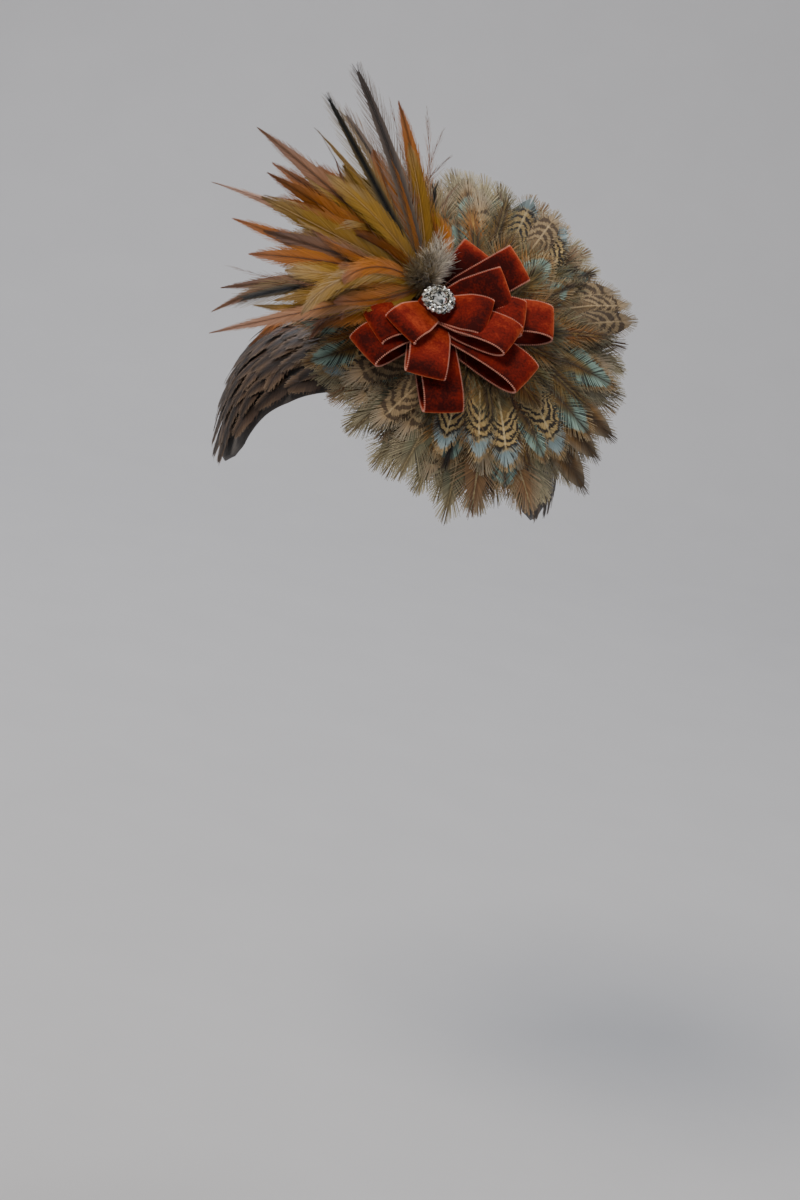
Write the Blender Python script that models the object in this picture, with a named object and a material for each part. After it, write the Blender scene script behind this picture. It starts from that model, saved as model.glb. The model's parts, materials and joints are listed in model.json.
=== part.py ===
"""Feather headband: a wide crescent band covered with small lapped feathers, a domed feather pad,
a plume of hackles, a looped ribbon rosette and a rhinestone button.

Run with: blender --background --python part.py
Sizes are millimetres, +Z is the top of the wearer's head, -Y is the way the wearer faces.
The origin is the head seat: the middle of the band's inner face.
"""

import math
from collections import namedtuple

import bpy
import numpy as np

MM = 0.001

# Head form that the band keeps, as half axes of its domed top
HEAD_HALF_WIDTH = 71.5
HEAD_HALF_DEPTH = 92.0
HEAD_DOME_RISE = 66.0
DOME_CENTRE_Z = 21.0

# Band
BAND_WALL = 2.0
BAND_TIP_Z = 7.0
BAND_STEPS_ALONG = 32
BAND_STEPS_ACROSS = 6
BandEdge = namedtuple("BandEdge", "arch_share front_share back_share")
# Edges of the crescent, as shares of the head form's half depth, from the crown to a tip
BAND_EDGES = (
    BandEdge(0.00, -0.848, 0.054),
    BandEdge(0.25, -0.826, 0.054),
    BandEdge(0.45, -0.766, 0.065),
    BandEdge(0.58, -0.723, 0.065),
    BandEdge(0.70, -0.663, 0.065),
    BandEdge(0.80, -0.620, 0.043),
    BandEdge(0.89, -0.576, -0.011),
    BandEdge(0.95, -0.500, -0.076),
    BandEdge(1.00, -0.370, -0.163),
)

# Lapped feathers on the band
COVER_GAP = 0.5
COVER_THIN = 1.0
COVER_THICK = 3.1
COVER_MARGIN = 1.5
COVER_ROWS_PER_SIDE = 7
COVER_SCALLOPS = 3
COVER_STEPS_PER_SCALLOP = 4
COVER_SCALLOP_DEPTH = 0.45
COVER_STEP_SHARE = 0.006
COVER_END_SHARE = 0.02

# Feather pad
PAD_AZIMUTH = 12.0
PAD_ELEVATION = 33.0
PAD_SIDE_SHARE = 0.3804
PAD_FRONT_SHARE = 0.7228
PAD_RISE_SHARE = 1.0439
PAD_CROWN = 4.5
PAD_RIM_DROP = 11.0
PAD_DOME_RADIUS = 75.0
PAD_DOME_POWER = 2.2
PAD_THICK_CENTRE = 9.5
PAD_THICK_RIM = 2.4
PAD_STEPS_ROUND = 64
PAD_PETALS = 16
PAD_NOTCH = 5.0
PAD_CLEARANCE = 0.8
PAD_HEEL_AT = (-8.0, -14.0)
PAD_HEEL_RADIUS = 38.0
PAD_HEEL_DEPTH = 14.0
PAD_STEP_DROP = 1.8
PAD_STEP_RUN = 0.9
PAD_TIER_SINK = 0.35
PAD_INNER_RADII = (9.0, 20.0)
PAD_MEAN_REACH = 70.0
PAD_BACK_SHARES = (1.0, 0.86, 0.66, 0.44, 0.22)
PadTier = namedtuple("PadTier", "tip_radius scallop_depth phase")
PAD_TIERS = (
    PadTier(33.0, 3.0, 0.0),
    PadTier(50.0, 3.5, 0.5),
    PadTier(64.0, 3.0, 0.0),
)
PadReach = namedtuple("PadReach", "clock rim_radius")
PAD_REACH = (
    PadReach(0, 77.0),
    PadReach(30, 68.0),
    PadReach(60, 68.0),
    PadReach(90, 66.0),
    PadReach(120, 68.0),
    PadReach(150, 75.0),
    PadReach(180, 73.0),
    PadReach(210, 68.0),
    PadReach(240, 64.0),
    PadReach(270, 72.0),
    PadReach(300, 72.0),
    PadReach(330, 70.0),
    PadReach(360, 77.0),
)

# Ribbon rosette, placed in the pad's own plane
ROSETTE_AT = (-21.0, 0.3)
SEAT_RADIUS = 14.0
SEAT_HEIGHT = 3.6
RIBBON_WIDTH = 16.0
RIBBON_THICK = 1.0
RIBBON_STATIONS = 16
RIBBON_ROOT_SHARE = 0.5
RIBBON_STITCHED = 14.5
RIBBON_STITCHED_WIDTH_SHARE = 0.96
RIBBON_FULL_WIDTH_AT = 0.95
RIBBON_START_ANGLE = 24.0
KNOT_RADIUS = 7.2
KNOT_SWELL = 0.4
KNOT_ROUNDING = 1.2
KNOT_HEIGHT = 15.2
KNOT_SIDES = 16
PIECE_GAP = 0.3
RibbonLoop = namedtuple("RibbonLoop", "clock lift length half_depth twist root_height")
LOOPS = (
    RibbonLoop(32, 12, 35, 5.0, 0, 3.0),
    RibbonLoop(54, 13, 43, 5.5, -10, 5.8),
    RibbonLoop(89, 12, 51, 6.0, 16, 3.2),
    RibbonLoop(124, 14, 49, 5.5, 8, 6.0),
    RibbonLoop(171, 12, 45, 5.5, 0, 3.6),
    RibbonLoop(231, 12, 37, 5.5, -14, 5.4),
    RibbonLoop(68, 22, 32, 4.0, -8, 9.0),
    RibbonLoop(93, 20, 38, 4.0, 12, 8.2),
    RibbonLoop(114, 24, 37, 4.0, 14, 10.0),
    RibbonLoop(186, 22, 35, 4.0, 0, 8.2),
    RibbonLoop(242, 16, 30, 4.0, -12, 8.2),
    RibbonLoop(104, 30, 24, 3.0, 0, 11.6),
    RibbonLoop(226, 28, 24, 3.0, -8, 11.0),
)

# Rhinestone button
BUTTON_RADIUS = 6.8
BUTTON_PLATE = 1.4
BUTTON_BACK_ROUNDING = 0.8
BUTTON_FRONT_ROUNDING = 0.5
BUTTON_SIDES = 24
BUTTON_TILT = 14.0
BUTTON_STEM_RADIUS = 2.2
BUTTON_STEM = 3.0
HALO_COUNT = 12
HALO_STONE_RADIUS = 1.45
HALO_INSET = 0.9
HALO_SINK = 0.5
HALO_LEAN = math.radians(37.0)
HALO_SEAT_DEPTH = 0.6
HALO_GIRDLE = 0.8
HALO_TABLE = 1.5
HALO_FACETS = 6
SETTING_RISE = 0.7
SETTING_OUTER_RISE = 0.9
SETTING_LIP = 0.7
STONE_RADIUS = 3.6
STONE_HEIGHT = 2.6
STONE_SEAT_DEPTH = 0.6
STONE_GAP = 0.15
STONE_FACETS = 8

# Hackle plume, placed in the pad's own plane from its root
PLUME_AT = (-3.2, 9.6)
PLUME_FOOT_AT = (-4.5, 11.6)
PLUME_ROOT_HEIGHT = 15.8
PLUME_STEM_RADIUS = 3.0
PLUME_STEM_TAPER = 0.8
PLUME_STEM_SIDES = 10
PLUME_KNOT_GAP = 0.7
HACKLE_STATIONS = 8
HACKLE_START = 2.0
HACKLE_THICK = 1.3
HACKLE_TIP_SHARE = 0.07
TUFT_SIDES = 9
Hackle = namedtuple("Hackle", "clock lift length width side_bend sag")
HACKLES = (
    Hackle(246, 13, 99, 7, 2, 10),
    Hackle(251, 13, 70, 8, 4, 3),
    Hackle(252, 8, 93, 8, 14, 8),
    Hackle(253, 13, 82, 9, 10, 6),
    Hackle(257, 10, 90, 8, 4, 4),
    Hackle(262, 15, 64, 11, 3, 3),
    Hackle(267, 12, 78, 10, 3, 4),
    Hackle(271, 8, 66, 12, 0, 3),
    Hackle(275, 14, 74, 10, 3, 4),
    Hackle(278, 9, 86, 10, -2, 4),
    Hackle(284, 11, 99, 9, 4, 5),
    Hackle(285, 15, 79, 10, 3, 4),
    Hackle(290, 8, 72, 12, 2, 3),
    Hackle(293, 14, 81, 10, 4, 4),
    Hackle(299, 9, 81, 11, 3, 4),
    Hackle(301, 16, 95, 9, 3, 6),
    Hackle(308, 11, 66, 12, 2, 3),
    Hackle(315, 15, 60, 11, 0, 3),
    Hackle(323, 15, 86, 8, 2, 5),
    Hackle(327, 10, 78, 9, 4, 4),
    Hackle(330, 14, 60, 10, 0, 3),
    Hackle(333, 17, 92, 9, 6, 6),
    Hackle(338, 10, 52, 11, 0, 2),
    Hackle(344, 13, 78, 9, 5, 5),
    Hackle(349, 9, 50, 9, 2, 2),
    Hackle(358, 12, 42, 6, 0, 2),
)
DownTuft = namedtuple("DownTuft", "clock lift length radius")
DOWN_TUFTS = (
    DownTuft(20, 28, 11, 4.6),
    DownTuft(345, 30, 12, 4.8),
    DownTuft(300, 24, 10, 5.0),
    DownTuft(60, 42, 8, 3.8),
    DownTuft(255, 38, 9, 4.2),
)

# Colours are linear values of the photo's tones
PAINTS = {
    "band": ("band_cloth", (0.028, 0.022, 0.020, 1.0), 0.85, 0.0),
    "band_feathers": ("band_feather", (0.060, 0.044, 0.042, 1.0), 0.7, 0.0),
    "pad_feathers": ("pad_feather", (0.170, 0.120, 0.062, 1.0), 0.75, 0.0),
    "hackle_plume": ("hackle", (0.270, 0.120, 0.026, 1.0), 0.5, 0.0),
    "ribbon_rosette": ("velvet_ribbon", (0.230, 0.030, 0.012, 1.0), 0.8, 0.0),
    "button_cup": ("silver_metal", (0.640, 0.630, 0.590, 1.0), 0.22, 1.0),
    "button_stone": ("clear_stone", (0.860, 0.880, 0.880, 1.0), 0.05, 0.0),
}

SEAT_Y = 0.5 * (BAND_EDGES[0].front_share + BAND_EDGES[0].back_share) * HEAD_HALF_DEPTH
SEAT_Z = DOME_CENTRE_Z + HEAD_DOME_RISE * math.sqrt(1 - (SEAT_Y / HEAD_HALF_DEPTH) ** 2)
HEAD_SEAT = np.array([0.0, SEAT_Y, SEAT_Z])


def clear_scene():
    for item in list(bpy.data.objects):
        bpy.data.objects.remove(item, do_unlink=True)


def paint(item):
    slot, colour, roughness, metallic = PAINTS[item.name]
    material = bpy.data.materials.new(slot)
    material.use_nodes = True
    shader = material.node_tree.nodes["Principled BSDF"]
    shader.inputs["Base Color"].default_value = colour
    shader.inputs["Roughness"].default_value = roughness
    shader.inputs["Metallic"].default_value = metallic
    item.data.materials.append(material)


def mesh_object(name, points, faces, smooth=True):
    """A mesh object, faces outwards, from head-frame millimetres: the head seat becomes its origin."""
    mesh = bpy.data.meshes.new(name)
    moved = (np.asarray(points, float) - HEAD_SEAT) * MM
    fans = [(f[0], f[k], f[k + 1]) for f in faces for k in range(1, len(f) - 1)]
    if np.linalg.det(moved[np.array(fans)]).sum() < 0:
        faces = [tuple(reversed(face)) for face in faces]
    mesh.from_pydata(moved.tolist(), [], faces)
    mesh.update()
    mesh.polygons.foreach_set("use_smooth", [smooth] * len(mesh.polygons))
    item = bpy.data.objects.new(name, mesh)
    bpy.context.scene.collection.objects.link(item)
    return item


def fuse(body, others, solver="EXACT"):
    """Join the other closed shapes to the body, then drop them. Many crossing blades need MANIFOLD."""
    bpy.context.view_layer.objects.active = body
    for other in others:
        union = body.modifiers.new("Union", "BOOLEAN")
        union.operation = "UNION"
        union.solver = solver
        union.object = other
        bpy.ops.object.modifier_apply(modifier=union.name)
        bpy.data.objects.remove(other, do_unlink=True)
    return body


def cut(body, cutter):
    """Take the cutter's room out of the body, then drop the cutter."""
    bpy.context.view_layer.objects.active = body
    difference = body.modifiers.new("Cut", "BOOLEAN")
    difference.operation = "DIFFERENCE"
    difference.solver = "MANIFOLD"
    difference.object = cutter
    bpy.ops.object.modifier_apply(modifier=difference.name)
    bpy.data.objects.remove(cutter, do_unlink=True)
    return body


def shell_faces(rows, columns):
    """Quads of a closed shell: outer grid first, inner grid second, and the four edges between them."""
    def outer(i, j):
        return i * columns + j

    def inner(i, j):
        return rows * columns + i * columns + j

    faces = []
    for i in range(rows - 1):
        for j in range(columns - 1):
            faces.append((outer(i, j), outer(i, j + 1), outer(i + 1, j + 1), outer(i + 1, j)))
            faces.append((inner(i, j), inner(i + 1, j), inner(i + 1, j + 1), inner(i, j + 1)))
    for i in range(rows - 1):
        last = columns - 1
        faces.append((outer(i, 0), outer(i + 1, 0), inner(i + 1, 0), inner(i, 0)))
        faces.append((outer(i, last), inner(i, last), inner(i + 1, last), outer(i + 1, last)))
    for j in range(columns - 1):
        last = rows - 1
        faces.append((outer(0, j), inner(0, j), inner(0, j + 1), outer(0, j + 1)))
        faces.append((outer(last, j), outer(last, j + 1), inner(last, j + 1), inner(last, j)))
    return faces


def on_head(share, y, offset):
    """Point at a signed share of the half arch and a depth y, an offset outside the head form."""
    half_width = HEAD_HALF_WIDTH + offset
    half_depth = HEAD_HALF_DEPTH + offset
    rise = HEAD_DOME_RISE + offset
    narrowing = math.sqrt(max(0.0, 1 - (y / half_depth) ** 2))
    full = math.pi / 2 + (DOME_CENTRE_Z - BAND_TIP_Z) / HEAD_DOME_RISE
    angle = abs(share) * full
    drop = max(0.0, angle - math.pi / 2) * HEAD_DOME_RISE
    arch = min(angle, math.pi / 2)
    x = math.copysign(half_width * math.sin(arch) * narrowing, share)
    return (x, y, DOME_CENTRE_Z + rise * math.cos(arch) * narrowing - drop)


def band_edges(share):
    shares, fronts, backs = np.array(BAND_EDGES).T
    front = np.interp(abs(share), shares, fronts)
    back = np.interp(abs(share), shares, backs)
    return HEAD_HALF_DEPTH * front, HEAD_HALF_DEPTH * back


def build_band():
    shares = np.linspace(-1, 1, BAND_STEPS_ALONG + 1)
    across = np.linspace(0, 1, BAND_STEPS_ACROSS + 1)
    points = []
    for offset in (BAND_WALL, 0.0):
        for share in shares:
            front, back = band_edges(share)
            points += [on_head(share, front + (back - front) * t, offset) for t in across]
    faces = shell_faces(len(shares), len(across))
    return mesh_object("band", points, faces)


def cover_rows():
    """Shares of the arch and the height share of each line of the lapped feathers, crown to tip."""
    pitch = 1.0 / COVER_ROWS_PER_SIDE
    step = COVER_STEP_SHARE
    rows = [(0.0, 1.0, 0.0), (0.5 * pitch, 0.9, 0.0)]
    for k in range(1, COVER_ROWS_PER_SIDE):
        phase = 0.5 * (k % 2)
        rows.append((k * pitch - step, 1.0, phase))
        rows.append((k * pitch + step, 0.0, phase))
        rows.append(((k + 0.5) * pitch, 0.5, phase))
    rows.append((1.0 - COVER_END_SHARE, 1.0, 0.5))
    return rows


def build_band_feathers():
    steps = COVER_SCALLOPS * COVER_STEPS_PER_SCALLOP
    half = cover_rows()
    rows = [(-s, h, p) for s, h, p in reversed(half[1:])] + half
    pitch = 1.0 / COVER_ROWS_PER_SIDE
    base = BAND_WALL + COVER_GAP
    points = []
    for top in (True, False):
        for share, high, phase in rows:
            for j in range(steps + 1):
                t = j / steps
                wave = abs(math.sin(math.pi * (t * COVER_SCALLOPS + phase)))
                inside = 0.0 < abs(share) < 1.0 - COVER_END_SHARE
                back_off = COVER_SCALLOP_DEPTH * pitch * (1 - wave) if inside else 0.0
                at = math.copysign(abs(share) - back_off, share) if share else 0.0
                front, back = band_edges(at)
                y = front + COVER_MARGIN + (back - front - 2 * COVER_MARGIN) * t
                thick = COVER_THIN + (COVER_THICK - COVER_THIN) * high
                points.append(on_head(at, y, base + thick if top else base))
    faces = shell_faces(len(rows), steps + 1)
    return mesh_object("band_feathers", points, faces, smooth=False)


def pad_axes():
    a = math.radians(PAD_AZIMUTH)
    e = math.radians(PAD_ELEVATION)
    normal = np.array([math.sin(a) * math.cos(e), -math.cos(a) * math.cos(e), math.sin(e)])
    right = np.array([math.cos(a), math.sin(a), 0.0])
    return right, np.cross(normal, right), normal


RIGHT, UP, NORMAL = pad_axes()
PAD_CENTRE = np.array([
    PAD_SIDE_SHARE * HEAD_HALF_WIDTH,
    -PAD_FRONT_SHARE * HEAD_HALF_DEPTH,
    DOME_CENTRE_Z + PAD_RISE_SHARE * HEAD_DOME_RISE,
])


def on_pad(right, up, height):
    return PAD_CENTRE + right * RIGHT + up * UP + height * NORMAL


def leaving(clock, lift):
    """Directions along and across something that leaves the pad's plane at a clock angle and a lift."""
    c, up_angle = math.radians(clock), math.radians(lift)
    radial = math.sin(c) * RIGHT + math.cos(c) * UP
    along = math.cos(up_angle) * radial + math.sin(up_angle) * NORMAL
    return along, math.cos(c) * RIGHT - math.sin(c) * UP


def head_height(right, up, clearance):
    """Height over the pad's plane at which its back clears the covered head form."""
    start = on_pad(right, up, 0.0) - np.array([0.0, 0.0, DOME_CENTRE_Z])
    grow = BAND_WALL + COVER_GAP + COVER_THICK + clearance
    axes = np.array([HEAD_HALF_WIDTH, HEAD_HALF_DEPTH, HEAD_DOME_RISE]) + grow
    p = start / axes
    d = NORMAL / axes
    if start[2] < 0:
        p[2] = 0.0
        d[2] = 0.0
    a, b, c = d @ d, p @ d, p @ p - 1
    inside = b * b - a * c
    return -math.inf if inside <= 0 else (-b + math.sqrt(inside)) / a


def pad_profile(radius):
    """Front height of the pad's dome over its plane."""
    share = radius / PAD_DOME_RADIUS
    return PAD_CROWN - (PAD_CROWN + PAD_RIM_DROP) * share ** PAD_DOME_POWER


def rim_reach(angle):
    clocks, radii = np.array(PAD_REACH).T
    return np.interp(math.degrees(angle), clocks, radii)


def petal_wave(angle, phase=0.0):
    """One at the middle of a petal, less towards the notch beside it."""
    return abs(math.sin(PAD_PETALS * angle / 2 + math.pi * (phase + 0.25)))


def pad_rim(angle):
    return rim_reach(angle) - PAD_NOTCH * (1 - petal_wave(angle))


def pad_front_rings():
    """The rings of the pad's front: how each finds its radius from the angle, and its drop."""
    rings = [(lambda a, radius=radius: radius, 0.0) for radius in PAD_INNER_RADII]
    for k, tier in enumerate(PAD_TIERS):
        def tips(angle, tier=tier):
            share = 0.5 + 0.5 * rim_reach(angle) / PAD_MEAN_REACH
            return tier.tip_radius * share - tier.scallop_depth * (1 - petal_wave(angle, tier.phase))

        drop = k * PAD_TIER_SINK * PAD_STEP_DROP
        rings.append((tips, drop))
        rings.append((lambda a, tips=tips: tips(a) + PAD_STEP_RUN, PAD_STEP_DROP + drop))
        if k + 1 < len(PAD_TIERS):
            middle = 0.5 * (tier.tip_radius + PAD_TIERS[k + 1].tip_radius)
            rings.append((lambda a, middle=middle: middle, (k + 0.6) * 0.6 * PAD_STEP_DROP))
    rings.append((pad_rim, PAD_STEP_DROP))
    return rings


def build_pad():
    angles = [2 * math.pi * k / PAD_STEPS_ROUND for k in range(PAD_STEPS_ROUND)]
    rings = pad_front_rings()

    def front(right, up, radius, drop):
        if math.hypot(right - ROSETTE_AT[0], up - ROSETTE_AT[1]) < SEAT_RADIUS:
            return SEAT_HEIGHT
        lowest = head_height(right, up, PAD_CLEARANCE) + PAD_THICK_RIM
        return max(pad_profile(radius) - drop, lowest)

    def back(right, up, radius, share):
        thick = PAD_THICK_CENTRE + (PAD_THICK_RIM - PAD_THICK_CENTRE) * share
        room = head_height(right, up, PAD_CLEARANCE)
        top = max(pad_profile(radius) - PAD_STEP_DROP, room + PAD_THICK_RIM)
        far = math.hypot(right - PAD_HEEL_AT[0], up - PAD_HEEL_AT[1]) / PAD_HEEL_RADIUS
        heel = PAD_HEEL_DEPTH * min(1.0, max(0.0, 3 * (1 - far)))
        return max(top - thick - heel, room)

    points = [on_pad(0, 0, front(0, 0, 0, 0))]
    for radius_of, drop in rings:
        for angle in angles:
            radius = radius_of(angle)
            right, up = radius * math.sin(angle), radius * math.cos(angle)
            points.append(on_pad(right, up, front(right, up, radius, drop)))
    for share in PAD_BACK_SHARES:
        for angle in angles:
            radius = pad_rim(angle) * share
            right, up = radius * math.sin(angle), radius * math.cos(angle)
            points.append(on_pad(right, up, back(right, up, radius, share)))
    points.append(on_pad(0, 0, back(0, 0, 0, 0)))

    count = len(angles)
    total = len(rings) + len(PAD_BACK_SHARES)
    faces = []
    for k in range(count):
        after = (k + 1) % count
        faces.append((0, 1 + after, 1 + k))
        for ring in range(total - 1):
            a = 1 + ring * count
            b = a + count
            faces.append((a + k, a + after, b + after, b + k))
        last = 1 + (total - 1) * count
        faces.append((last + k, last + after, len(points) - 1))
    return mesh_object("pad_feathers", points, faces, smooth=False)


def tube_faces(stations, sides):
    """Quads of a capped tube whose stations each hold the same number of points."""
    faces = [tuple(reversed(range(sides)))]
    for s in range(stations - 1):
        a = s * sides
        b = a + sides
        for k in range(sides):
            after = (k + 1) % sides
            faces.append((a + k, a + after, b + after, b + k))
    last = (stations - 1) * sides
    faces.append(tuple(range(last, last + sides)))
    return faces


def lathe(name, centre, axis, outline, sides, smooth=False):
    """Closed solid from (radius, height) pairs round an axis; the first and last rings are capped flat."""
    axis = np.asarray(axis, float)
    side = np.cross(axis, UP if abs(axis @ UP) < 0.9 else RIGHT)
    side /= np.linalg.norm(side)
    other = np.cross(axis, side)
    points = []
    for radius, height in outline:
        for k in range(sides):
            turn = 2 * math.pi * k / sides
            spoke = math.cos(turn) * side + math.sin(turn) * other
            points.append(np.asarray(centre) + radius * spoke + height * axis)
    return mesh_object(name, points, tube_faces(len(outline), sides), smooth)


def ribbon_half(x):
    """Half width of a ribbon at a distance from the knot: it is pinched at its root."""
    share = min(1.0, x / (RIBBON_FULL_WIDTH_AT * RIBBON_WIDTH))
    return 0.5 * RIBBON_WIDTH * (RIBBON_ROOT_SHARE + (1 - RIBBON_ROOT_SHARE) * share ** 0.7)


def loop_strip(name, loop):
    """One ribbon loop as a bent strip whose two ends meet in the knot."""
    along, across = leaving(loop.clock, loop.lift)
    turn = math.radians(loop.twist)
    facing = np.cross(across, along)
    across, facing = (
        math.cos(turn) * across + math.sin(turn) * facing,
        math.cos(turn) * facing - math.sin(turn) * across,
    )
    root = on_pad(*ROSETTE_AT, SEAT_HEIGHT + loop.root_height)
    start = math.radians(RIBBON_START_ANGLE)
    swing = np.linspace(start, 2 * math.pi - start, RIBBON_STATIONS)
    out = (1 - np.cos(swing)) / 2
    legs = 0.62 * RIBBON_THICK * np.sign(np.round(np.sin(swing), 6)) * np.minimum(1, 8 * (1 - out))
    curve_x = loop.length * out
    curve_y = loop.half_depth * np.sin(swing) * out ** 0.8 + legs
    flow = np.stack([np.gradient(curve_x), np.gradient(curve_y)], 1)
    flow /= np.linalg.norm(flow, axis=1)[:, None]
    points = []
    for x, y, (tx, ty) in zip(curve_x, curve_y, flow):
        half = ribbon_half(x)
        outward = -ty * along + tx * facing
        middle = root + x * along + y * facing
        for side, level in ((-1, -0.5), (1, -0.5), (1, 0.5), (-1, 0.5)):
            points.append(middle + side * half * across + level * RIBBON_THICK * outward)
    strip = mesh_object(name, points, tube_faces(RIBBON_STATIONS, 4))
    rising = curve_y[: RIBBON_STATIONS // 2]
    stitched = []
    for x in (0.3 * RIBBON_STITCHED, RIBBON_STITCHED):
        deep = float(np.interp(x, curve_x[: len(rising)], rising))
        half = RIBBON_STITCHED_WIDTH_SHARE * ribbon_half(x)
        for side, level in ((-1, -1), (1, -1), (1, 1), (-1, 1)):
            stitched.append(root + x * along + side * half * across + level * deep * facing)
    return fuse(strip, [mesh_object(name + "_root", stitched, tube_faces(2, 4))], "MANIFOLD")


def build_rosette():
    base = on_pad(*ROSETTE_AT, SEAT_HEIGHT)
    outline = (
        (KNOT_RADIUS, PIECE_GAP),
        (KNOT_RADIUS + KNOT_SWELL, KNOT_HEIGHT - KNOT_ROUNDING),
        (KNOT_RADIUS - KNOT_ROUNDING, KNOT_HEIGHT),
    )
    knot = lathe("ribbon_rosette", base, NORMAL, outline, KNOT_SIDES)
    strips = [loop_strip(f"loop_{k}", loop) for k, loop in enumerate(LOOPS)]
    return fuse(knot, strips, "MANIFOLD")


def button_frame():
    turn = math.radians(BUTTON_TILT)
    axis = math.cos(turn) * NORMAL + math.sin(turn) * UP
    foot = on_pad(*ROSETTE_AT, SEAT_HEIGHT + KNOT_HEIGHT) + PIECE_GAP * NORMAL
    lift = BUTTON_STEM_RADIUS * math.sin(turn)
    return foot + lift * axis, axis


def build_button():
    foot, axis = button_frame()
    top = BUTTON_STEM + BUTTON_PLATE
    bore = STONE_RADIUS + STONE_GAP
    outline = (
        (BUTTON_STEM_RADIUS, 0.0),
        (BUTTON_STEM_RADIUS, BUTTON_STEM),
        (BUTTON_RADIUS - BUTTON_BACK_ROUNDING, BUTTON_STEM),
        (BUTTON_RADIUS, BUTTON_STEM + 0.5 * BUTTON_PLATE),
        (BUTTON_RADIUS - BUTTON_FRONT_ROUNDING, top),
        (bore + SETTING_LIP, top + SETTING_OUTER_RISE),
        (bore, top + SETTING_RISE),
        (bore, top - STONE_SEAT_DEPTH),
    )
    cup = lathe("button_cup", foot, axis, outline, BUTTON_SIDES)
    side = np.cross(axis, UP)
    side /= np.linalg.norm(side)
    other = np.cross(axis, side)
    stones = []
    ring = BUTTON_RADIUS - HALO_INSET
    for k in range(HALO_COUNT):
        turn = 2 * math.pi * k / HALO_COUNT
        spoke = math.cos(turn) * side + math.sin(turn) * other
        centre = foot + ring * spoke + (top - HALO_SINK) * axis
        facing = math.cos(HALO_LEAN) * axis + math.sin(HALO_LEAN) * spoke
        girdle = ((HALO_STONE_RADIUS, -HALO_SEAT_DEPTH), (HALO_STONE_RADIUS, HALO_GIRDLE))
        shape = girdle + ((0.5 * HALO_STONE_RADIUS, HALO_TABLE),)
        stones.append(lathe(f"halo_{k}", centre, facing, shape, HALO_FACETS))
    fuse(cup, stones)
    seat = top - STONE_SEAT_DEPTH + STONE_GAP
    stone_outline = (
        (0.55 * STONE_RADIUS, seat),
        (STONE_RADIUS, seat + 0.45 * STONE_HEIGHT),
        (STONE_RADIUS, seat + 0.55 * STONE_HEIGHT),
        (0.82 * STONE_RADIUS, seat + 0.82 * STONE_HEIGHT),
        (0.55 * STONE_RADIUS, seat + STONE_HEIGHT),
    )
    stone = lathe("button_stone", foot, axis, stone_outline, STONE_FACETS)
    return cup, stone


def plume_root():
    return on_pad(ROSETTE_AT[0] + PLUME_AT[0], ROSETTE_AT[1] + PLUME_AT[1], PLUME_ROOT_HEIGHT)


def hackle(name, row):
    """One tapered, curved hackle blade from the plume's root."""
    along, across = leaving(row.clock, row.lift)
    facing = np.cross(across, along)
    root = plume_root()
    points = []
    for k in range(HACKLE_STATIONS):
        t = k / (HACKLE_STATIONS - 1)
        bow = 4 * t * (1 - t)
        reach = HACKLE_START + (row.length - HACKLE_START) * t
        middle = root + reach * along + 0.5 * row.side_bend * bow * across
        middle = middle - row.sag * t * t * facing
        swell = math.sin(math.pi * min(1.0, 0.22 + 0.78 * t)) ** 0.8
        half = 0.5 * row.width * max(HACKLE_TIP_SHARE, swell)
        thick = 0.5 * HACKLE_THICK * (1 - 0.6 * t)
        for side, level in ((-1, 0.0), (0, -1), (1, 0.0), (0, 1)):
            points.append(middle + side * half * across + level * thick * facing)
    return mesh_object(name, points, tube_faces(HACKLE_STATIONS, 4))


def blob(name, centre, along, length, radius):
    """A lump of down: a short rounded tuft."""
    outline = (
        (0.35 * radius, -0.9 * radius),
        (0.9 * radius, -0.35 * radius),
        (radius, 0.35 * length),
        (0.72 * radius, 0.75 * length),
        (0.25 * radius, length),
    )
    return lathe(name, centre, along, outline, TUFT_SIDES, smooth=True)


def build_plume():
    root = plume_root()
    foot = on_pad(ROSETTE_AT[0] + PLUME_FOOT_AT[0], ROSETTE_AT[1] + PLUME_FOOT_AT[1], SEAT_HEIGHT)
    stem = PLUME_ROOT_HEIGHT - SEAT_HEIGHT
    outline = (
        (PLUME_STEM_RADIUS, PIECE_GAP),
        (PLUME_STEM_RADIUS, stem - PLUME_STEM_RADIUS),
        (PLUME_STEM_RADIUS - PLUME_STEM_TAPER, stem),
    )
    plume = lathe("hackle_plume", foot, NORMAL, outline, PLUME_STEM_SIDES)
    parts = []
    for k, tuft in enumerate(DOWN_TUFTS):
        along, _ = leaving(tuft.clock, tuft.lift)
        parts.append(blob(f"tuft_{k}", root, along, tuft.length, tuft.radius))
    parts += [hackle(f"hackle_{k}", row) for k, row in enumerate(HACKLES)]
    fuse(plume, parts, "MANIFOLD")
    reach = KNOT_RADIUS + KNOT_SWELL + PLUME_KNOT_GAP
    tube = ((reach, -PLUME_STEM_RADIUS), (reach, 2.5 * KNOT_HEIGHT))
    room = lathe("knot_room", on_pad(*ROSETTE_AT, SEAT_HEIGHT), NORMAL, tube, KNOT_SIDES)
    return cut(plume, room)


def main():
    clear_scene()
    pieces = [build_band(), build_band_feathers(), build_pad(), build_plume(), build_rosette()]
    pieces += build_button()
    for piece in pieces:
        paint(piece)


main()
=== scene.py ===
"""Feather headband: a felt crescent lapped with small feathers, a domed feather pad, a hackle plume,
a velvet ribbon rosette and a rhinestone button.

Sizes are millimetres in the head form's own frame until a mesh is made. A mesh is in metres, with the
head seat as its origin, +Z the top of the wearer's head and -Y the way the wearer faces.
"""

import json
import logging
import math
from collections.abc import Callable
from dataclasses import dataclass, field
from enum import Enum
from typing import Any

import bpy
import numpy as np
from mathutils import Matrix

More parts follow.
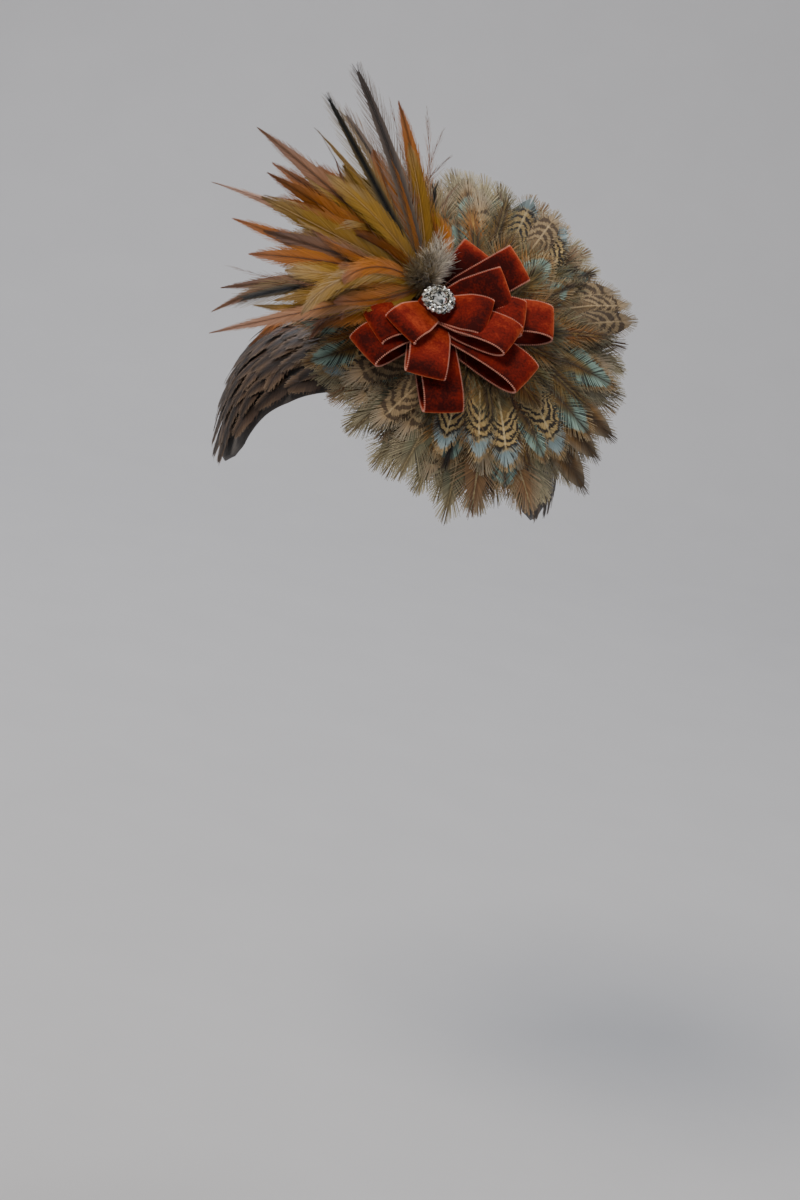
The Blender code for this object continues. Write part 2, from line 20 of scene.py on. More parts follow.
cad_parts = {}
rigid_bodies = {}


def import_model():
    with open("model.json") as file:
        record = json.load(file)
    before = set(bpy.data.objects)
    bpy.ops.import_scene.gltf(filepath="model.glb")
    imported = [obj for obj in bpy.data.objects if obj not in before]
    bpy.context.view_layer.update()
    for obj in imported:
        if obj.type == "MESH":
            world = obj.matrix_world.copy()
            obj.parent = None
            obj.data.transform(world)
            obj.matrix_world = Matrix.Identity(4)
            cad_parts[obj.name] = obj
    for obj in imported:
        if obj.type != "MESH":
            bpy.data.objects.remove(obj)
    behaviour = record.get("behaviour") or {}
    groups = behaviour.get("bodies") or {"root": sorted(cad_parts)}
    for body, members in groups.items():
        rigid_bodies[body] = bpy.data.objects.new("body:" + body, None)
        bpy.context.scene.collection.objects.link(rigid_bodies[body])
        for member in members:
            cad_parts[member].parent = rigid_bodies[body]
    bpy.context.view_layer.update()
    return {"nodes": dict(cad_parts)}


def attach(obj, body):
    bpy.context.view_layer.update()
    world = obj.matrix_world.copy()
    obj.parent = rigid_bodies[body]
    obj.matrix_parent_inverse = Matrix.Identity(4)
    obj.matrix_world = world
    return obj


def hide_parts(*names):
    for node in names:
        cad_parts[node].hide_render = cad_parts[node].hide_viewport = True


LOG = logging.getLogger("headband")
MM = 0.001
SEED = 20417
SHAFT_END = 0.8  # where a rounded feather's shaft ends, as a share of its pattern
SHAFT_TAPER = 0.85  # share of its girth that a shaft loses towards its tip
STRAND_TAPER = 0.65  # the same of a barb
WEB_SINK = 0.12  # how far the smooth web lies under the loose barbs, in millimetres
WEB_RAGGED = 0.4  # unevenness of the web's edge, as a share of the barbs'

Array = np.ndarray
Stops = tuple[tuple[float, str], ...]
Placing = Callable[[Array], Array]


# Helpers


def linear(colour: str) -> tuple[float, float, float, float]:
    """Turn an sRGB hex colour into linear RGBA.

    Args:
        colour: six hex digits, with or without a leading #.

    Returns:
        Linear red, green and blue, and an alpha of one.
    """
    digits = colour.lstrip("#")
    parts = [int(digits[k : k + 2], 16) / 255 for k in (0, 2, 4)]
    low = [p / 12.92 if p <= 0.04045 else ((p + 0.055) / 1.055) ** 2.4 for p in parts]
    return (low[0], low[1], low[2], 1.0)


def unit(vectors: Array) -> Array:
    """Vectors scaled to length one along the last axis."""
    return vectors / np.maximum(np.linalg.norm(vectors, axis=-1, keepdims=True), 1e-9)


class Wiring:
    """A material's node tree while it is being wired."""

    def __init__(self, name: str) -> None:
        """Start a material with an empty tree.

        Args:
            name: the material's name.
        """
        self.material = bpy.data.materials.new(name)
        self.material.use_nodes = True
        self.tree = self.material.node_tree
        self.tree.nodes.clear()

    def add(self, kind: str, *terms: Any, out: int | str = 0, stops: Stops = (), **settings: Any) -> Any:
        """Add one node with its settings and links.

        Args:
            kind: Blender's name for the node, without ShaderNode.
            terms: what goes into its inputs, in their order or as one dict by input name. A socket is
                linked, and a number, a vector or a hex colour is set.
            out: the output that is wanted.
            stops: places and hex colours of a colour ramp.
            settings: its properties.

        Returns:
            The output's socket, or None where the node has none.
        """
        node = self.tree.nodes.new("ShaderNode" + kind)
        for key, value in settings.items():
            setattr(node, key, value)
        named = terms[0] if terms and isinstance(terms[0], dict) else dict(enumerate(terms))
        for key, value in named.items():
            if isinstance(value, bpy.types.NodeSocket):
                self.tree.links.new(value, node.inputs[key])
            else:
                node.inputs[key].default_value = linear(value) if isinstance(value, str) else value
        for _ in stops[2:]:
            node.color_ramp.elements.new(0.5)
        for k, (place, colour) in enumerate(stops):
            node.color_ramp.elements[k].position = place
            node.color_ramp.elements[k].color = linear(colour)
        return node.outputs[out] if len(node.outputs) else None

    def patches(self, size_mm: float, detail: float = 3.0, stretch: tuple[float, float, float] = (1, 1, 1)) -> Any:
        """Uneven patches of a real size, fixed to the piece.

        Args:
            size_mm: size of one patch in millimetres.
            detail: how many finer layers it holds.
            stretch: how much longer a patch is along each axis.

        Returns:
            The socket of a value from zero to one.
        """
        place = self.add("TexCoord", out="Object")
        scale = tuple(1 / (size_mm * MM * s) for s in stretch)
        moved = self.add("Mapping", {"Vector": place, "Scale": scale})
        return self.add("TexNoise", {"Vector": moved, "Scale": 1.0, "Detail": detail})

    def finished(self, inputs: dict[str, Any]) -> bpy.types.Material:
        """End the tree with a Principled surface.

        Args:
            inputs: sockets and plain values for its inputs.

        Returns:
            The finished material.
        """
        self.add("OutputMaterial", {"Surface": self.add("BsdfPrincipled", inputs)})
        return self.material


# Finishes


@dataclass(frozen=True)
class FeatherFinish:
    """Natural plumage: matt keratin strands, whose colour changes along the feather and over its width.

    Bars and the pale shaft are drawn from the places that each strand keeps, so they follow its barbs.
    """

    name: str
    ramp: Stops
    edge: str
    edge_share: float
    shaft: str
    shaft_share: float = 0.05
    shaft_end: float = 1.0
    centre: str = "20180f"
    centre_width: float = 0.0
    bars: tuple[float, float, float] = (0.0, 0.0, 1.0)
    bar_dark: str = "15100c"
    bar_pale: str = "c9b088"
    bar_slant: float = 0.2
    dark_strands: tuple[float, float, float] = (0.0, 0.0, 0.0)
    contrast: float = 0.5
    roughness: float = 0.62
    sheen: float = 0.25
    blur: float = 0.07

    def material(self) -> bpy.types.Material:
        """Wire the plumage.

        Returns:
            The material.
        """
        s = Wiring(self.name)
        along, side, tone, strand = (
            s.add("Attribute", attribute_name=key, out="Fac") for key in ("along", "side", "tone", "strand")
        )
        shift = s.add("Math", s.patches(3.0), 0.09, -0.045, operation="MULTIPLY_ADD")
        place = s.add("Math", along, shift, operation="ADD")
        # The ramp's dark root end is partly the feathers' own colour and partly painted shade where they lie under the
        # next feathers
        colour = s.add("ValToRGB", place, stops=self.ramp)
        outward = s.add("Math", side, self.edge_share, operation="MULTIPLY")
        colour = s.add("MixRGB", outward, colour, self.edge)
        if self.centre_width > 0:
            near = s.add("MapRange", side, self.centre_width, 0.0)
            near = s.add("Math", near, s.add("Math", 1.35, tone, operation="SUBTRACT"), operation="MULTIPLY")
            colour = s.add("MixRGB", s.add("Math", near, 0.6, operation="POWER", use_clamp=True), colour, self.centre)
        start, end, pitch = self.bars
        if end > start:
            slant = s.add("Math", side, -self.bar_slant, place, operation="MULTIPLY_ADD")
            wave = s.add("Math", s.add("Math", slant, 2 * math.pi / pitch, operation="MULTIPLY"), operation="SINE")
            pale = s.add("MapRange", wave, -0.35, 0.35)
            bars = s.add("MixRGB", pale, self.bar_dark, self.bar_pale)
            inside = s.add("MapRange", slant, start, start + self.blur)
            before = s.add("MapRange", slant, end, end - self.blur)
            colour = s.add("MixRGB", s.add("Math", inside, before, operation="MULTIPLY"), colour, bars)
        share, start, end = self.dark_strands
        if share > 0:
            dark = s.add("Math", strand, share, operation="LESS_THAN")
            inside = s.add("MapRange", place, start, start + self.blur)
            before = s.add("MapRange", place, end, end - self.blur)
            window = s.add("Math", inside, before, operation="MULTIPLY")
            dark = s.add("Math", s.add("Math", dark, window, operation="MULTIPLY"), 0.8, operation="MULTIPLY")
            colour = s.add("MixRGB", dark, colour, self.bar_dark)
        pale = s.add("Math", side, self.shaft_share, operation="LESS_THAN")
        pale = s.add("Math", pale, s.add("MapRange", along, self.shaft_end, self.shaft_end - 0.1), operation="MULTIPLY")
        colour = s.add("MixRGB", s.add("Math", pale, 0.7, operation="MULTIPLY"), colour, self.shaft)
        bright = s.add("Math", tone, 0.55, 0.64, operation="MULTIPLY_ADD")
        uneven = s.add("Math", strand, self.contrast, 1.0 - 0.5 * self.contrast, operation="MULTIPLY_ADD")
        bright = s.add("Math", bright, uneven, operation="MULTIPLY")
        shade = s.add("CombineColor", bright, bright, bright)
        colour = s.add("MixRGB", 1.0, colour, shade, blend_type="MULTIPLY")
        return s.finished({
            "Base Color": colour,
            "Roughness": self.roughness,
            "Specular IOR Level": 0.35,
            "Sheen Weight": self.sheen,
            "Sheen Roughness": 0.5,
        })


@dataclass(frozen=True)
class VelvetFinish:
    """Silk-rayon velvet: a short upright pile, with painted shade where it faces the eye and a painted rusty sheen
    where it is seen at a slant.
    """

    name: str
    # Colours of a ramp on the view angle: painted shade facing the eye, the pile's own red, then rust and pale orange
    # as painted sheen at grazing angles
    deep: str = "360603"
    body: str = "74190b"
    lean: str = "a5401f"
    painted_grazing_sheen: str = "d07a52"
    pile_mm: float = 0.35
    brushed_mm: float = 7.0
    fleck_mm: float = 0.9

    def material(self) -> bpy.types.Material:
        """Wire the pile.

        Returns:
            The material.
        """
        s = Wiring(self.name)
        # The colour follows the view angle: painted shade where the pile faces the eye and painted sheen towards
        # grazing angles, moved about by the brushed and fleck patches
        facing = s.add("LayerWeight", {"Blend": 0.5}, out="Facing")
        brushed = s.add("Math", s.patches(self.brushed_mm, 2.0), 0.7, -0.35, operation="MULTIPLY_ADD")
        fleck = s.add("Math", s.patches(self.fleck_mm), 0.5, -0.25, operation="MULTIPLY_ADD")
        uneven = s.add("Math", brushed, fleck, operation="ADD")
        lean = s.add("Math", facing, uneven, operation="ADD")
        stops = ((0.0, self.deep), (0.3, self.body), (0.62, self.lean), (0.95, self.painted_grazing_sheen))
        colour = s.add("ValToRGB", lean, stops=stops)
        normal = s.add("Bump", {"Height": s.patches(self.pile_mm, 2.0), "Distance": 0.12 * MM, "Strength": 0.6})
        return s.finished({
            "Base Color": colour,
            "Normal": normal,
            "Roughness": 0.85,
            "Specular IOR Level": 0.15,
            "Sheen Weight": 0.45,
            "Sheen Roughness": 0.25,
            "Sheen Tint": linear("ff8a5c"),
        })


@dataclass(frozen=True)
class ThreadFinish:
    """Viscose edging yarn: small satin stitches, paler than the pile."""

    name: str
    light: str = "dc9c86"
    dark: str = "a4523c"

    def material(self) -> bpy.types.Material:
        """Wire the yarn.

        Returns:
            The material.
        """
        s = Wiring(self.name)
        colour = s.add("MixRGB", s.patches(1.4), self.dark, self.light)
        return s.finished({"Base Color": colour, "Roughness": 0.5, "Sheen Weight": 0.3})


@dataclass(frozen=True)
class FeltFinish:
    """Pressed wool felt: tangled fibres, matt and slightly mottled."""

    name: str
    dark: str = "1c1613"
    light: str = "3a2f29"
    fibre_mm: float = 0.6

    def material(self) -> bpy.types.Material:
        """Wire the felt.

        Returns:
            The material.
        """
        s = Wiring(self.name)
        fibre = s.patches(self.fibre_mm, 4.0, (1.0, 3.0, 1.0))
        mottle = s.add("Math", s.patches(3.5, 4.0), 0.3, operation="MULTIPLY")
        colour = s.add("MixRGB", s.add("Math", fibre, 0.7, mottle, operation="MULTIPLY_ADD"), self.dark, self.light)
        normal = s.add("Bump", {"Height": fibre, "Distance": 0.25 * MM, "Strength": 0.7})
        return s.finished({
            "Base Color": colour,
            "Normal": normal,
            "Roughness": 1.0,
            "Specular IOR Level": 0.15,
            "Sheen Weight": 0.25,
            "Sheen Roughness": 0.8,
        })


@dataclass(frozen=True)
class SilverFinish:
    """Rhodium-plated brass casting: bright and dark in small random patches, which also vary its roughness and bumps.
    """

    name: str

    def material(self) -> bpy.types.Material:
        """Wire the plating.

        Returns:
            The material.
        """
        s = Wiring(self.name)
        plate_mottle = s.patches(0.8)
        colour = s.add("MixRGB", s.add("MapRange", plate_mottle, 0.35, 0.6), "55524a", "cfccc2")
        rough = s.add("Math", plate_mottle, 0.2, 0.15, operation="MULTIPLY_ADD")
        normal = s.add("Bump", {"Height": plate_mottle, "Distance": 0.06 * MM, "Strength": 0.4})
        return s.finished({"Base Color": colour, "Roughness": rough, "Normal": normal, "Metallic": 1.0})


@dataclass(frozen=True)
class CrystalFinish:
    """Foil-backed lead glass: polished facets, with a patchwork of bright and dark cells painted into its colour as
    glints and dark reflections.
    """

    name: str
    facet_mm: float

    def material(self) -> bpy.types.Material:
        """Wire the glass.

        Returns:
            The material.
        """
        s = Wiring(self.name)
        place = s.add("TexCoord", out="Object")
        scale = 1 / (self.facet_mm * MM)
        # Painted glints: random cells from near black to near white in the base colour stand for reflections in the
        # facets
        painted_glint_cells = s.add("TexVoronoi", {"Vector": place, "Scale": scale, "Randomness": 1.0}, out="Color")
        level = s.add("SeparateColor", painted_glint_cells)
        stops = ((0.0, "0e100f"), (0.3, "3c403f"), (0.5, "8e9492"), (0.68, "f4f6f2"))
        colour = s.add("ValToRGB", level, stops=stops)
        return s.finished({
            "Base Color": colour,
            "Metallic": 0.6,
            "Roughness": 0.06,
            "Coat Weight": 1.0,
            "Coat Roughness": 0.02,
        })


# Colours of the plumage, from the root of the feather to its tip; the dark root colours are partly the feathers' own
# and partly painted shade where each feather lies under the next
# Dull olive-brown saddle down: dark at the root, partly as painted shade, greyish green at its loose tips
OLIVE_DOWN = FeatherFinish(
    "olive_down",
    ((0.0, "20180c"), (0.35, "3e2f12"), (0.6, "70531a"), (0.8, "7a602a"), (0.92, "6c6c4e"), (1.0, "7e7a62")),
    edge="6c6c50", edge_share=0.3, shaft="7a683c", centre="2c1c0a", centre_width=0.25, contrast=0.8,
    roughness=0.66,
)
# Warm ginger down: glows brown-gold between the olive feathers
GINGER_DOWN = FeatherFinish(
    "ginger_down",
    ((0.0, "281a0c"), (0.4, "523210"), (0.66, "8c5214"), (0.85, "966830"), (1.0, "867a5e")),
    edge="867348", edge_share=0.3, shaft="a07c40", centre="38200a", centre_width=0.22, contrast=0.8,
    roughness=0.64,
)
# Cream feather with brown-black chevrons, then a slate-blue crescent and a buff tip
BARRED = FeatherFinish(
    "barred_saddle",
    ((0.0, "342818"), (0.38, "564420"), (0.5, "7c6434"), (0.8, "7a6438"), (0.83, "6c8084"), (0.93, "8c9ea0"),
     (0.96, "8e7348"), (1.0, "a08c68")),
    edge="5e5642", edge_share=0.2, shaft="c4b084", shaft_share=0.04, shaft_end=0.84, bars=(0.48, 0.82, 0.072),
    bar_dark="221910", bar_pale="a8905e", dark_strands=(0.35, 0.78, 1.05), contrast=0.6, blur=0.05,
)
# Bronze feather with a dusty teal band that shines a little before its brown tip
TEAL_RUMP = FeatherFinish(
    "teal_rump",
    ((0.0, "2c2214"), (0.4, "4e3c18"), (0.6, "6e5220"), (0.68, "5f5c3c"), (0.75, "738c80"), (0.88, "8aa498"),
     (0.92, "8e6c3c"), (1.0, "a08e6c")),
    edge="5f6c62", edge_share=0.3, shaft="33291a", shaft_share=0.03, centre="281608", centre_width=0.2,
    dark_strands=(0.42, 0.6, 0.95), contrast=0.7, sheen=0.15, roughness=0.5,
)
# Pale buff feather with faint broad bars
BUFF_RUMP = FeatherFinish(
    "buff_rump",
    ((0.0, "32281a"), (0.4, "54422a"), (0.6, "7a6444"), (0.84, "968062"), (1.0, "948a76")),
    edge="7c6c54", edge_share=0.3, shaft="b09a74", shaft_share=0.04, shaft_end=0.86, bars=(0.48, 0.86, 0.09),
    bar_dark="4a3a28", bar_pale="8c7858", dark_strands=(0.25, 0.8, 1.1), contrast=0.65, blur=0.05,
)
# Grey-green rim feather whose separate barbs read as light and dark hairs
FRINGE = FeatherFinish(
    "rim_fringe",
    ((0.0, "30281a"), (0.35, "4c3e22"), (0.55, "5e5030"), (0.7, "64664e"), (0.82, "7a7258"), (1.0, "a09678")),
    edge="70705e", edge_share=0.25, shaft="8f825e", shaft_share=0.03, centre="4a3a20", centre_width=0.12,
    dark_strands=(0.2, 0.6, 1.1), contrast=0.95,
)
# The same rim feather, browned with rust
RUST_FRINGE = FeatherFinish(
    "rust_fringe",
    ((0.0, "30200f"), (0.35, "4a3416"), (0.55, "68461c"), (0.72, "6c4e2c"), (0.84, "74583a"), (1.0, "948064")),
    edge="6e604a", edge_share=0.25, shaft="8f825e", shaft_share=0.03, centre="4a2a10", centre_width=0.12,
    dark_strands=(0.25, 0.55, 1.1), contrast=0.95,
)
# Broad ochre-brown petal with a dark heart and a grey edge, at the lower right rim
OCHRE_PETAL = FeatherFinish(
    "ochre_petal",
    ((0.0, "2e2216"), (0.45, "5c3f16"), (0.75, "80591e"), (0.92, "7e7460"), (1.0, "8c8474")),
    edge="7c715c", edge_share=0.5, shaft="4a361a", centre="2e1e0c", centre_width=0.3, contrast=0.7,
)
# Near-black umber vane with a paler, slightly glossy edge, for the band; its near-black root is partly painted shade
# under the next row
BAND_VANE = FeatherFinish(
    "umber_vane",
    ((0.0, "120d0a"), (0.4, "2c2018"), (0.72, "4c3b30"), (0.9, "66523f"), (1.0, "84705c")),
    edge="5c4a42", edge_share=0.3, shaft="1c1512", shaft_share=0.05, centre="231811", centre_width=0.3,
    contrast=0.6, roughness=0.5, sheen=0.06,
)
# Glossy orange-ginger hackle with a darker middle
HACKLE_GINGER = FeatherFinish(
    "ginger_hackle",
    ((0.0, "5e4620"), (0.12, "7a4e10"), (0.4, "945410"), (0.72, "a25e1c"), (0.9, "9c6640"), (1.0, "8c6250")),
    edge="b07830", edge_share=0.4, shaft="5c3812", shaft_share=0.05, centre="6e3c10", centre_width=0.18,
    contrast=0.55, roughness=0.4, sheen=0.1,
)
# Glossy olive-gold hackle
HACKLE_GOLD = FeatherFinish(
    "golden_hackle",
    ((0.0, "544420"), (0.15, "6c5010"), (0.45, "846012"), (0.75, "926e22"), (0.92, "9c8050"), (1.0, "9c8668")),
    edge="a88434", edge_share=0.35, shaft="b0905c", shaft_share=0.04, centre="64460c", centre_width=0.2,
    contrast=0.55, roughness=0.4, sheen=0.1,
)
# Black-green stripe along a straw-coloured hackle
HACKLE_DARK = FeatherFinish(
    "dark_hackle",
    ((0.0, "4a4030"), (0.2, "5c4a20"), (0.6, "8c7448"), (1.0, "8c7c68")),
    edge="b09a68", edge_share=0.8, shaft="0c0d0b", shaft_share=0.12, centre="101210", centre_width=0.55,
    contrast=0.4, roughness=0.35, sheen=0.1,
)
# Dusty rose-brown hackle that greys at its point
HACKLE_ROSE = FeatherFinish(
    "rose_hackle",
    ((0.0, "544020"), (0.2, "82581c"), (0.45, "986430"), (0.7, "9c7258"), (0.9, "98786a"), (1.0, "7c6258")),
    edge="ac8c72", edge_share=0.4, shaft="5c4030", shaft_share=0.05, centre="745038", centre_width=0.18,
    contrast=0.55, roughness=0.42, sheen=0.12,
)
# Smoky mauve-grey hackle with a dark middle
HACKLE_GREY = FeatherFinish(
    "grey_hackle",
    ((0.0, "6a5c44"), (0.25, "7c6644"), (0.6, "88786c"), (1.0, "8a7c76")),
    edge="a8988c", edge_share=0.6, shaft="2e2826", shaft_share=0.1, centre="4e4644", centre_width=0.5,
    contrast=0.4, roughness=0.42, sheen=0.12,
)
# Off-white fluff, fully matt with a soft halo
DOWN_PALE = FeatherFinish(
    "pale_down",
    ((0.0, "8c7c60"), (0.4, "b8ac96"), (1.0, "ddd6c8")),
    edge="d8d0c2", edge_share=0.3, shaft="a89c86", contrast=0.5, roughness=0.85, sheen=0.4,
)
# Olive-umber fluff in the shade of the hackles
DOWN_UMBER = FeatherFinish(
    "umber_down",
    ((0.0, "40331c"), (0.4, "5e4c28"), (1.0, "8c7c58")),
    edge="7c6c48", edge_share=0.3, shaft="5c4c30", contrast=0.6, roughness=0.85, sheen=0.3,
)


# Meshes


class StrandMesh:
    """Collects strips of quads with their places on the feather, and makes one mesh of them."""

    FIELDS = ("along", "side", "tone", "strand")

    def __init__(self) -> None:
        """Start with no strips."""
        self.points: list[Array] = []
        self.faces: list[Array] = []
        self.fields: dict[str, list[Array]] = {key: [] for key in self.FIELDS}
        self.cells: list[tuple[Array, Array]] = []
        self.count = 0

    def add(self, grid: Array, fields: dict[str, Array], flat: Array) -> None:
        """Add strips.

        Args:
            grid: points as (strips, stations, across, 3), in row-frame millimetres.
            fields: a number for each point under each field's name.
            flat: each point's place on the feather laid flat, from zero to one, as (strips, stations, across, 2).
        """
        strips, stations, across = grid.shape[:3]
        index = np.arange(strips * stations * across).reshape(strips, stations, across) + self.count
        quads = np.stack(
            [index[:, :-1, :-1], index[:, :-1, 1:], index[:, 1:, 1:], index[:, 1:, :-1]], axis=-1
        )
        self.points.append(grid.reshape(-1, 3))
        self.faces.append(quads.reshape(-1, 4))
        for key in self.FIELDS:
            self.fields[key].append(np.broadcast_to(fields[key], grid.shape[:3]).reshape(-1))
        self.cells.append((flat.reshape(-1, 2), quads.reshape(-1, 4) - self.count))
        self.count += grid.shape[0] * stations * across

    def merge_cells(self, since: int) -> None:
        """Give all strips added since then one cell of the flat layout, as they are one feather.

        Args:
            since: how many cells there were before the feather.
        """
        if len(self.cells) - since < 2:
            return
        group = self.cells[since:]
        offset, quads = 0, []
        for flat, faces in group:
            quads.append(faces + offset)
            offset += len(flat)
        self.cells[since:] = [(np.concatenate([flat for flat, _ in group]), np.concatenate(quads))]

    def build(self, name: str, material: bpy.types.Material) -> bpy.types.Object:
        """Make the object.

        Args:
            name: the piece's name.
            material: its finish.

        Returns:
            The object, in metres, with its feathers laid out in cells of the bake map.
        """
        points = (np.concatenate(self.points) * MM).astype(np.float32)
        faces = np.concatenate(self.faces)
        mesh = bpy.data.meshes.new(name)
        mesh.vertices.add(len(points))
        mesh.vertices.foreach_set("co", points.ravel())
        mesh.loops.add(faces.size)
        mesh.loops.foreach_set("vertex_index", faces.ravel().astype(np.int32))
        mesh.polygons.add(len(faces))
        mesh.polygons.foreach_set("loop_start", np.arange(0, faces.size, 4, dtype=np.int32))
        mesh.update(calc_edges=True)
        for key in self.FIELDS:
            layer = mesh.attributes.new(key, "FLOAT", "POINT")
            layer.data.foreach_set("value", np.concatenate(self.fields[key]).astype(np.float32))
        side = math.ceil(math.sqrt(len(self.cells)))
        laid = []
        for k, (flat, quads) in enumerate(self.cells):
            corner = np.array([k % side, k // side], float)
            laid.append(((corner + 0.04 + 0.92 * np.clip(flat, 0, 1)) / side)[quads].reshape(-1, 2))
        layer = mesh.uv_layers.new(name="OFBake")
        layer.data.foreach_set("uv", np.concatenate(laid).astype(np.float32).ravel())
        mesh.polygons.foreach_set("use_smooth", np.ones(len(faces), bool))
        mesh.materials.append(material)
        item = bpy.data.objects.new(name, mesh)
        bpy.context.scene.collection.objects.link(item)
        return item


@dataclass(frozen=True)
class FeatherCut:
    """How one kind of feather grows. Angles are degrees from the shaft, sizes are millimetres."""

    barbs: int
    segments: int = 3
    strand: float = 0.5
    web: float = 0.6
    web_lines: int = 22
    rake_root: float = 62.0
    rake_tip: float = 14.0
    outline: tuple[tuple[float, float], ...] = ((0.0, 0.5), (0.2, 0.95), (0.6, 1.0), (0.9, 0.75), (1.0, 0.6))
    bare: float = 0.06
    ragged: float = 0.12
    loose: float = 0.8
    cup: float = 2.0
    curl: float = 0.35
    twist: float = 25.0
    shaft: float = 0.2
    bow: float = 1.5
    fan: float = 3.0
    stray: float = 4.0
    crowd: float = 1.0
    blade: bool = False


@dataclass
class Feather:
    """One feather grown flat: its shaft runs along +Y from the origin, and it faces +Z.

    Near the shaft its barbs hook together into a smooth web, and beyond that they stand apart as strands.
    """

    cut: FeatherCut
    length: float
    width: float
    bend: float = 0.0
    parts: list[tuple[Array, dict[str, Array]]] = field(default_factory=list)

    def shaft_at(self, t: Array) -> Array:
        """Points of the shaft at shares of its length."""
        return np.stack([self.bend * t * t, self.length * t, self.cut.bow * 4 * t * (1 - t)], -1)

    def root_places(self, shares: Array) -> Array:
        """Places of barb roots along the shaft, closer together towards its tip."""
        return self.cut.bare + (1 - self.cut.bare) * (1 - (1 - shares) ** self.cut.crowd)

    def barbs(self, t: Array, hand: float, reach_off: Array, angle_off: Array, rise: Array, share: float) -> dict:
        """Lines of barbs on one side.

        Args:
            t: places of their roots along the shaft.
            hand: side of the shaft, minus one or one.
            reach_off: how much longer each barb is than the outline, as a share.
            angle_off: how far each one strays, in radians.
            rise: how far each tip stands off the vane.
            share: how much of each barb is drawn, from its root.

        Returns:
            Its lines, headings, steps, places across and places along.
        """
        cut = self.cut
        table = np.array(cut.outline)
        angle = np.radians(cut.rake_root + (cut.rake_tip - cut.rake_root) * t ** cut.fan)
        reach = self.width * np.interp(t, table[:, 0], table[:, 1]) * (1 + reach_off)
        if cut.blade:
            reach = reach / np.sin(angle * (1 - 0.5 * cut.curl))
        angle = angle + angle_off
        step = np.linspace(0, share, cut.segments + 1)
        heading = angle[:, None] * (1 - cut.curl * 0.5 * (step[1:] + step[:-1])[None, :])
        size = np.maximum(reach, 0.5)[:, None] * share / cut.segments
        zero = np.zeros((len(t), 1))
        dx = np.concatenate([zero, np.cumsum(np.sin(heading) * size, 1)], 1)
        dy = np.concatenate([zero, np.cumsum(np.cos(heading) * size, 1)], 1)
        base = self.shaft_at(t)
        height = base[:, 2:] + rise[:, None] * step[None, :] ** 1.6 - cut.cup * (dx / self.width) ** 2
        line = np.stack([base[:, :1] + hand * dx, base[:, 1:2] + dy, height], -1)
        if cut.blade:
            along = line[..., 1] / self.length
        else:
            inner, outer = SHAFT_END * t, np.minimum(1.0, 0.6 + 0.8 * t)
            along = inner[:, None] + (outer - inner)[:, None] * step[None, :]
        heading = np.concatenate([heading, heading[:, -1:]], 1)
        return {"line": line, "heading": heading, "step": step, "side": dx / self.width, "along": along}

    def keep(self, grid: Array, along: Array, side: Array, strand: Array) -> None:
        """Keep one group of strips with its fields.

        Args:
            grid: its points.
            along: place along the feather's pattern, from zero at the root to one.
            side: place across it, from zero at the shaft to one.
            strand: a number that tells one barb from the next.
        """
        fields = {"along": along, "side": side, "strand": strand}
        self.parts.append((grid, {key: np.broadcast_to(value, grid.shape[:3]) for key, value in fields.items()}))

    def grow(self, rng: np.random.Generator) -> "Feather":
        """Grow its web, its strands and its shaft.

        Args:
            rng: source of its unevenness.

        Returns:
            The feather itself.
        """
        cut = self.cut
        for hand in (-1.0, 1.0):
            if cut.web > 0:
                t = self.root_places(np.linspace(0, 1, cut.web_lines))
                off = cut.ragged * WEB_RAGGED * rng.normal(0, 1, len(t))
                rise = rng.normal(0, 0.12, len(t))
                web = self.barbs(t, hand, off, 0 * t, rise, cut.web)
                strand = 0.1 + 0.5 * rng.random(len(t))
                grid = web["line"][None] - np.array([0, 0, WEB_SINK])
                self.keep(grid, web["along"][None], web["side"][None], strand[None, :, None])
            t = self.root_places((np.arange(cut.barbs) + rng.random(cut.barbs)) / cut.barbs)
            off = cut.ragged * rng.normal(0, 1, cut.barbs)
            stray = np.radians(rng.normal(0, cut.stray, cut.barbs))
            barbs = self.barbs(t, hand, off, stray, rng.normal(0, cut.loose, cut.barbs), 1.0)
            turn = np.radians(rng.normal(0, cut.twist, cut.barbs))[:, None]
            end = barbs["heading"]
            wide = [np.cos(end) * np.cos(turn), -hand * np.sin(end) * np.cos(turn), np.sin(turn) + 0 * end]
            half = 0.5 * cut.strand * (1 - STRAND_TAPER * barbs["step"][None, :, None]) * np.stack(wide, -1)
            grid = np.stack([barbs["line"] - hand * half, barbs["line"] + hand * half], 2)
            strand = (0.35 + 0.65 * rng.random(cut.barbs)) if cut.web > 0 else rng.random(cut.barbs)
            self.keep(grid, barbs["along"][:, :, None], barbs["side"][:, :, None], strand[:, None, None])
        stations = np.linspace(0, 1, 9)
        girth = cut.shaft * (1 - SHAFT_TAPER * stations)
        spokes = [(math.cos(a), math.sin(a)) for a in np.radians([90, 210, 330, 450])]
        spine = self.shaft_at(stations)
        tube = np.stack([spine + girth[:, None] * np.array([c, 0, s]) for c, s in spokes], 1)[None]
        along = tube[..., 1] / self.length * (1.0 if cut.blade else SHAFT_END)
        self.keep(tube, along, np.zeros(1), np.full(1, 0.5))
        return self


def lay(mesh: StrandMesh, feather: Feather, place: Placing, tone: float) -> None:
    """Place a grown feather and add it to a mesh.

    Args:
        mesh: where it goes.
        feather: the feather, grown flat.
        place: turns flat feather points into row-frame millimetres.
        tone: its lightness, from zero to one.
    """
    since = len(mesh.cells)
    half, tall = 1.15 * feather.width, feather.length + 0.8 * feather.width
    for grid, fields in feather.parts:
        flat = np.stack([0.5 + 0.5 * grid[..., 0] / half, grid[..., 1] / tall], -1)
        mesh.add(place(grid), fields | {"tone": np.array(tone)}, flat)
    mesh.merge_cells(since)


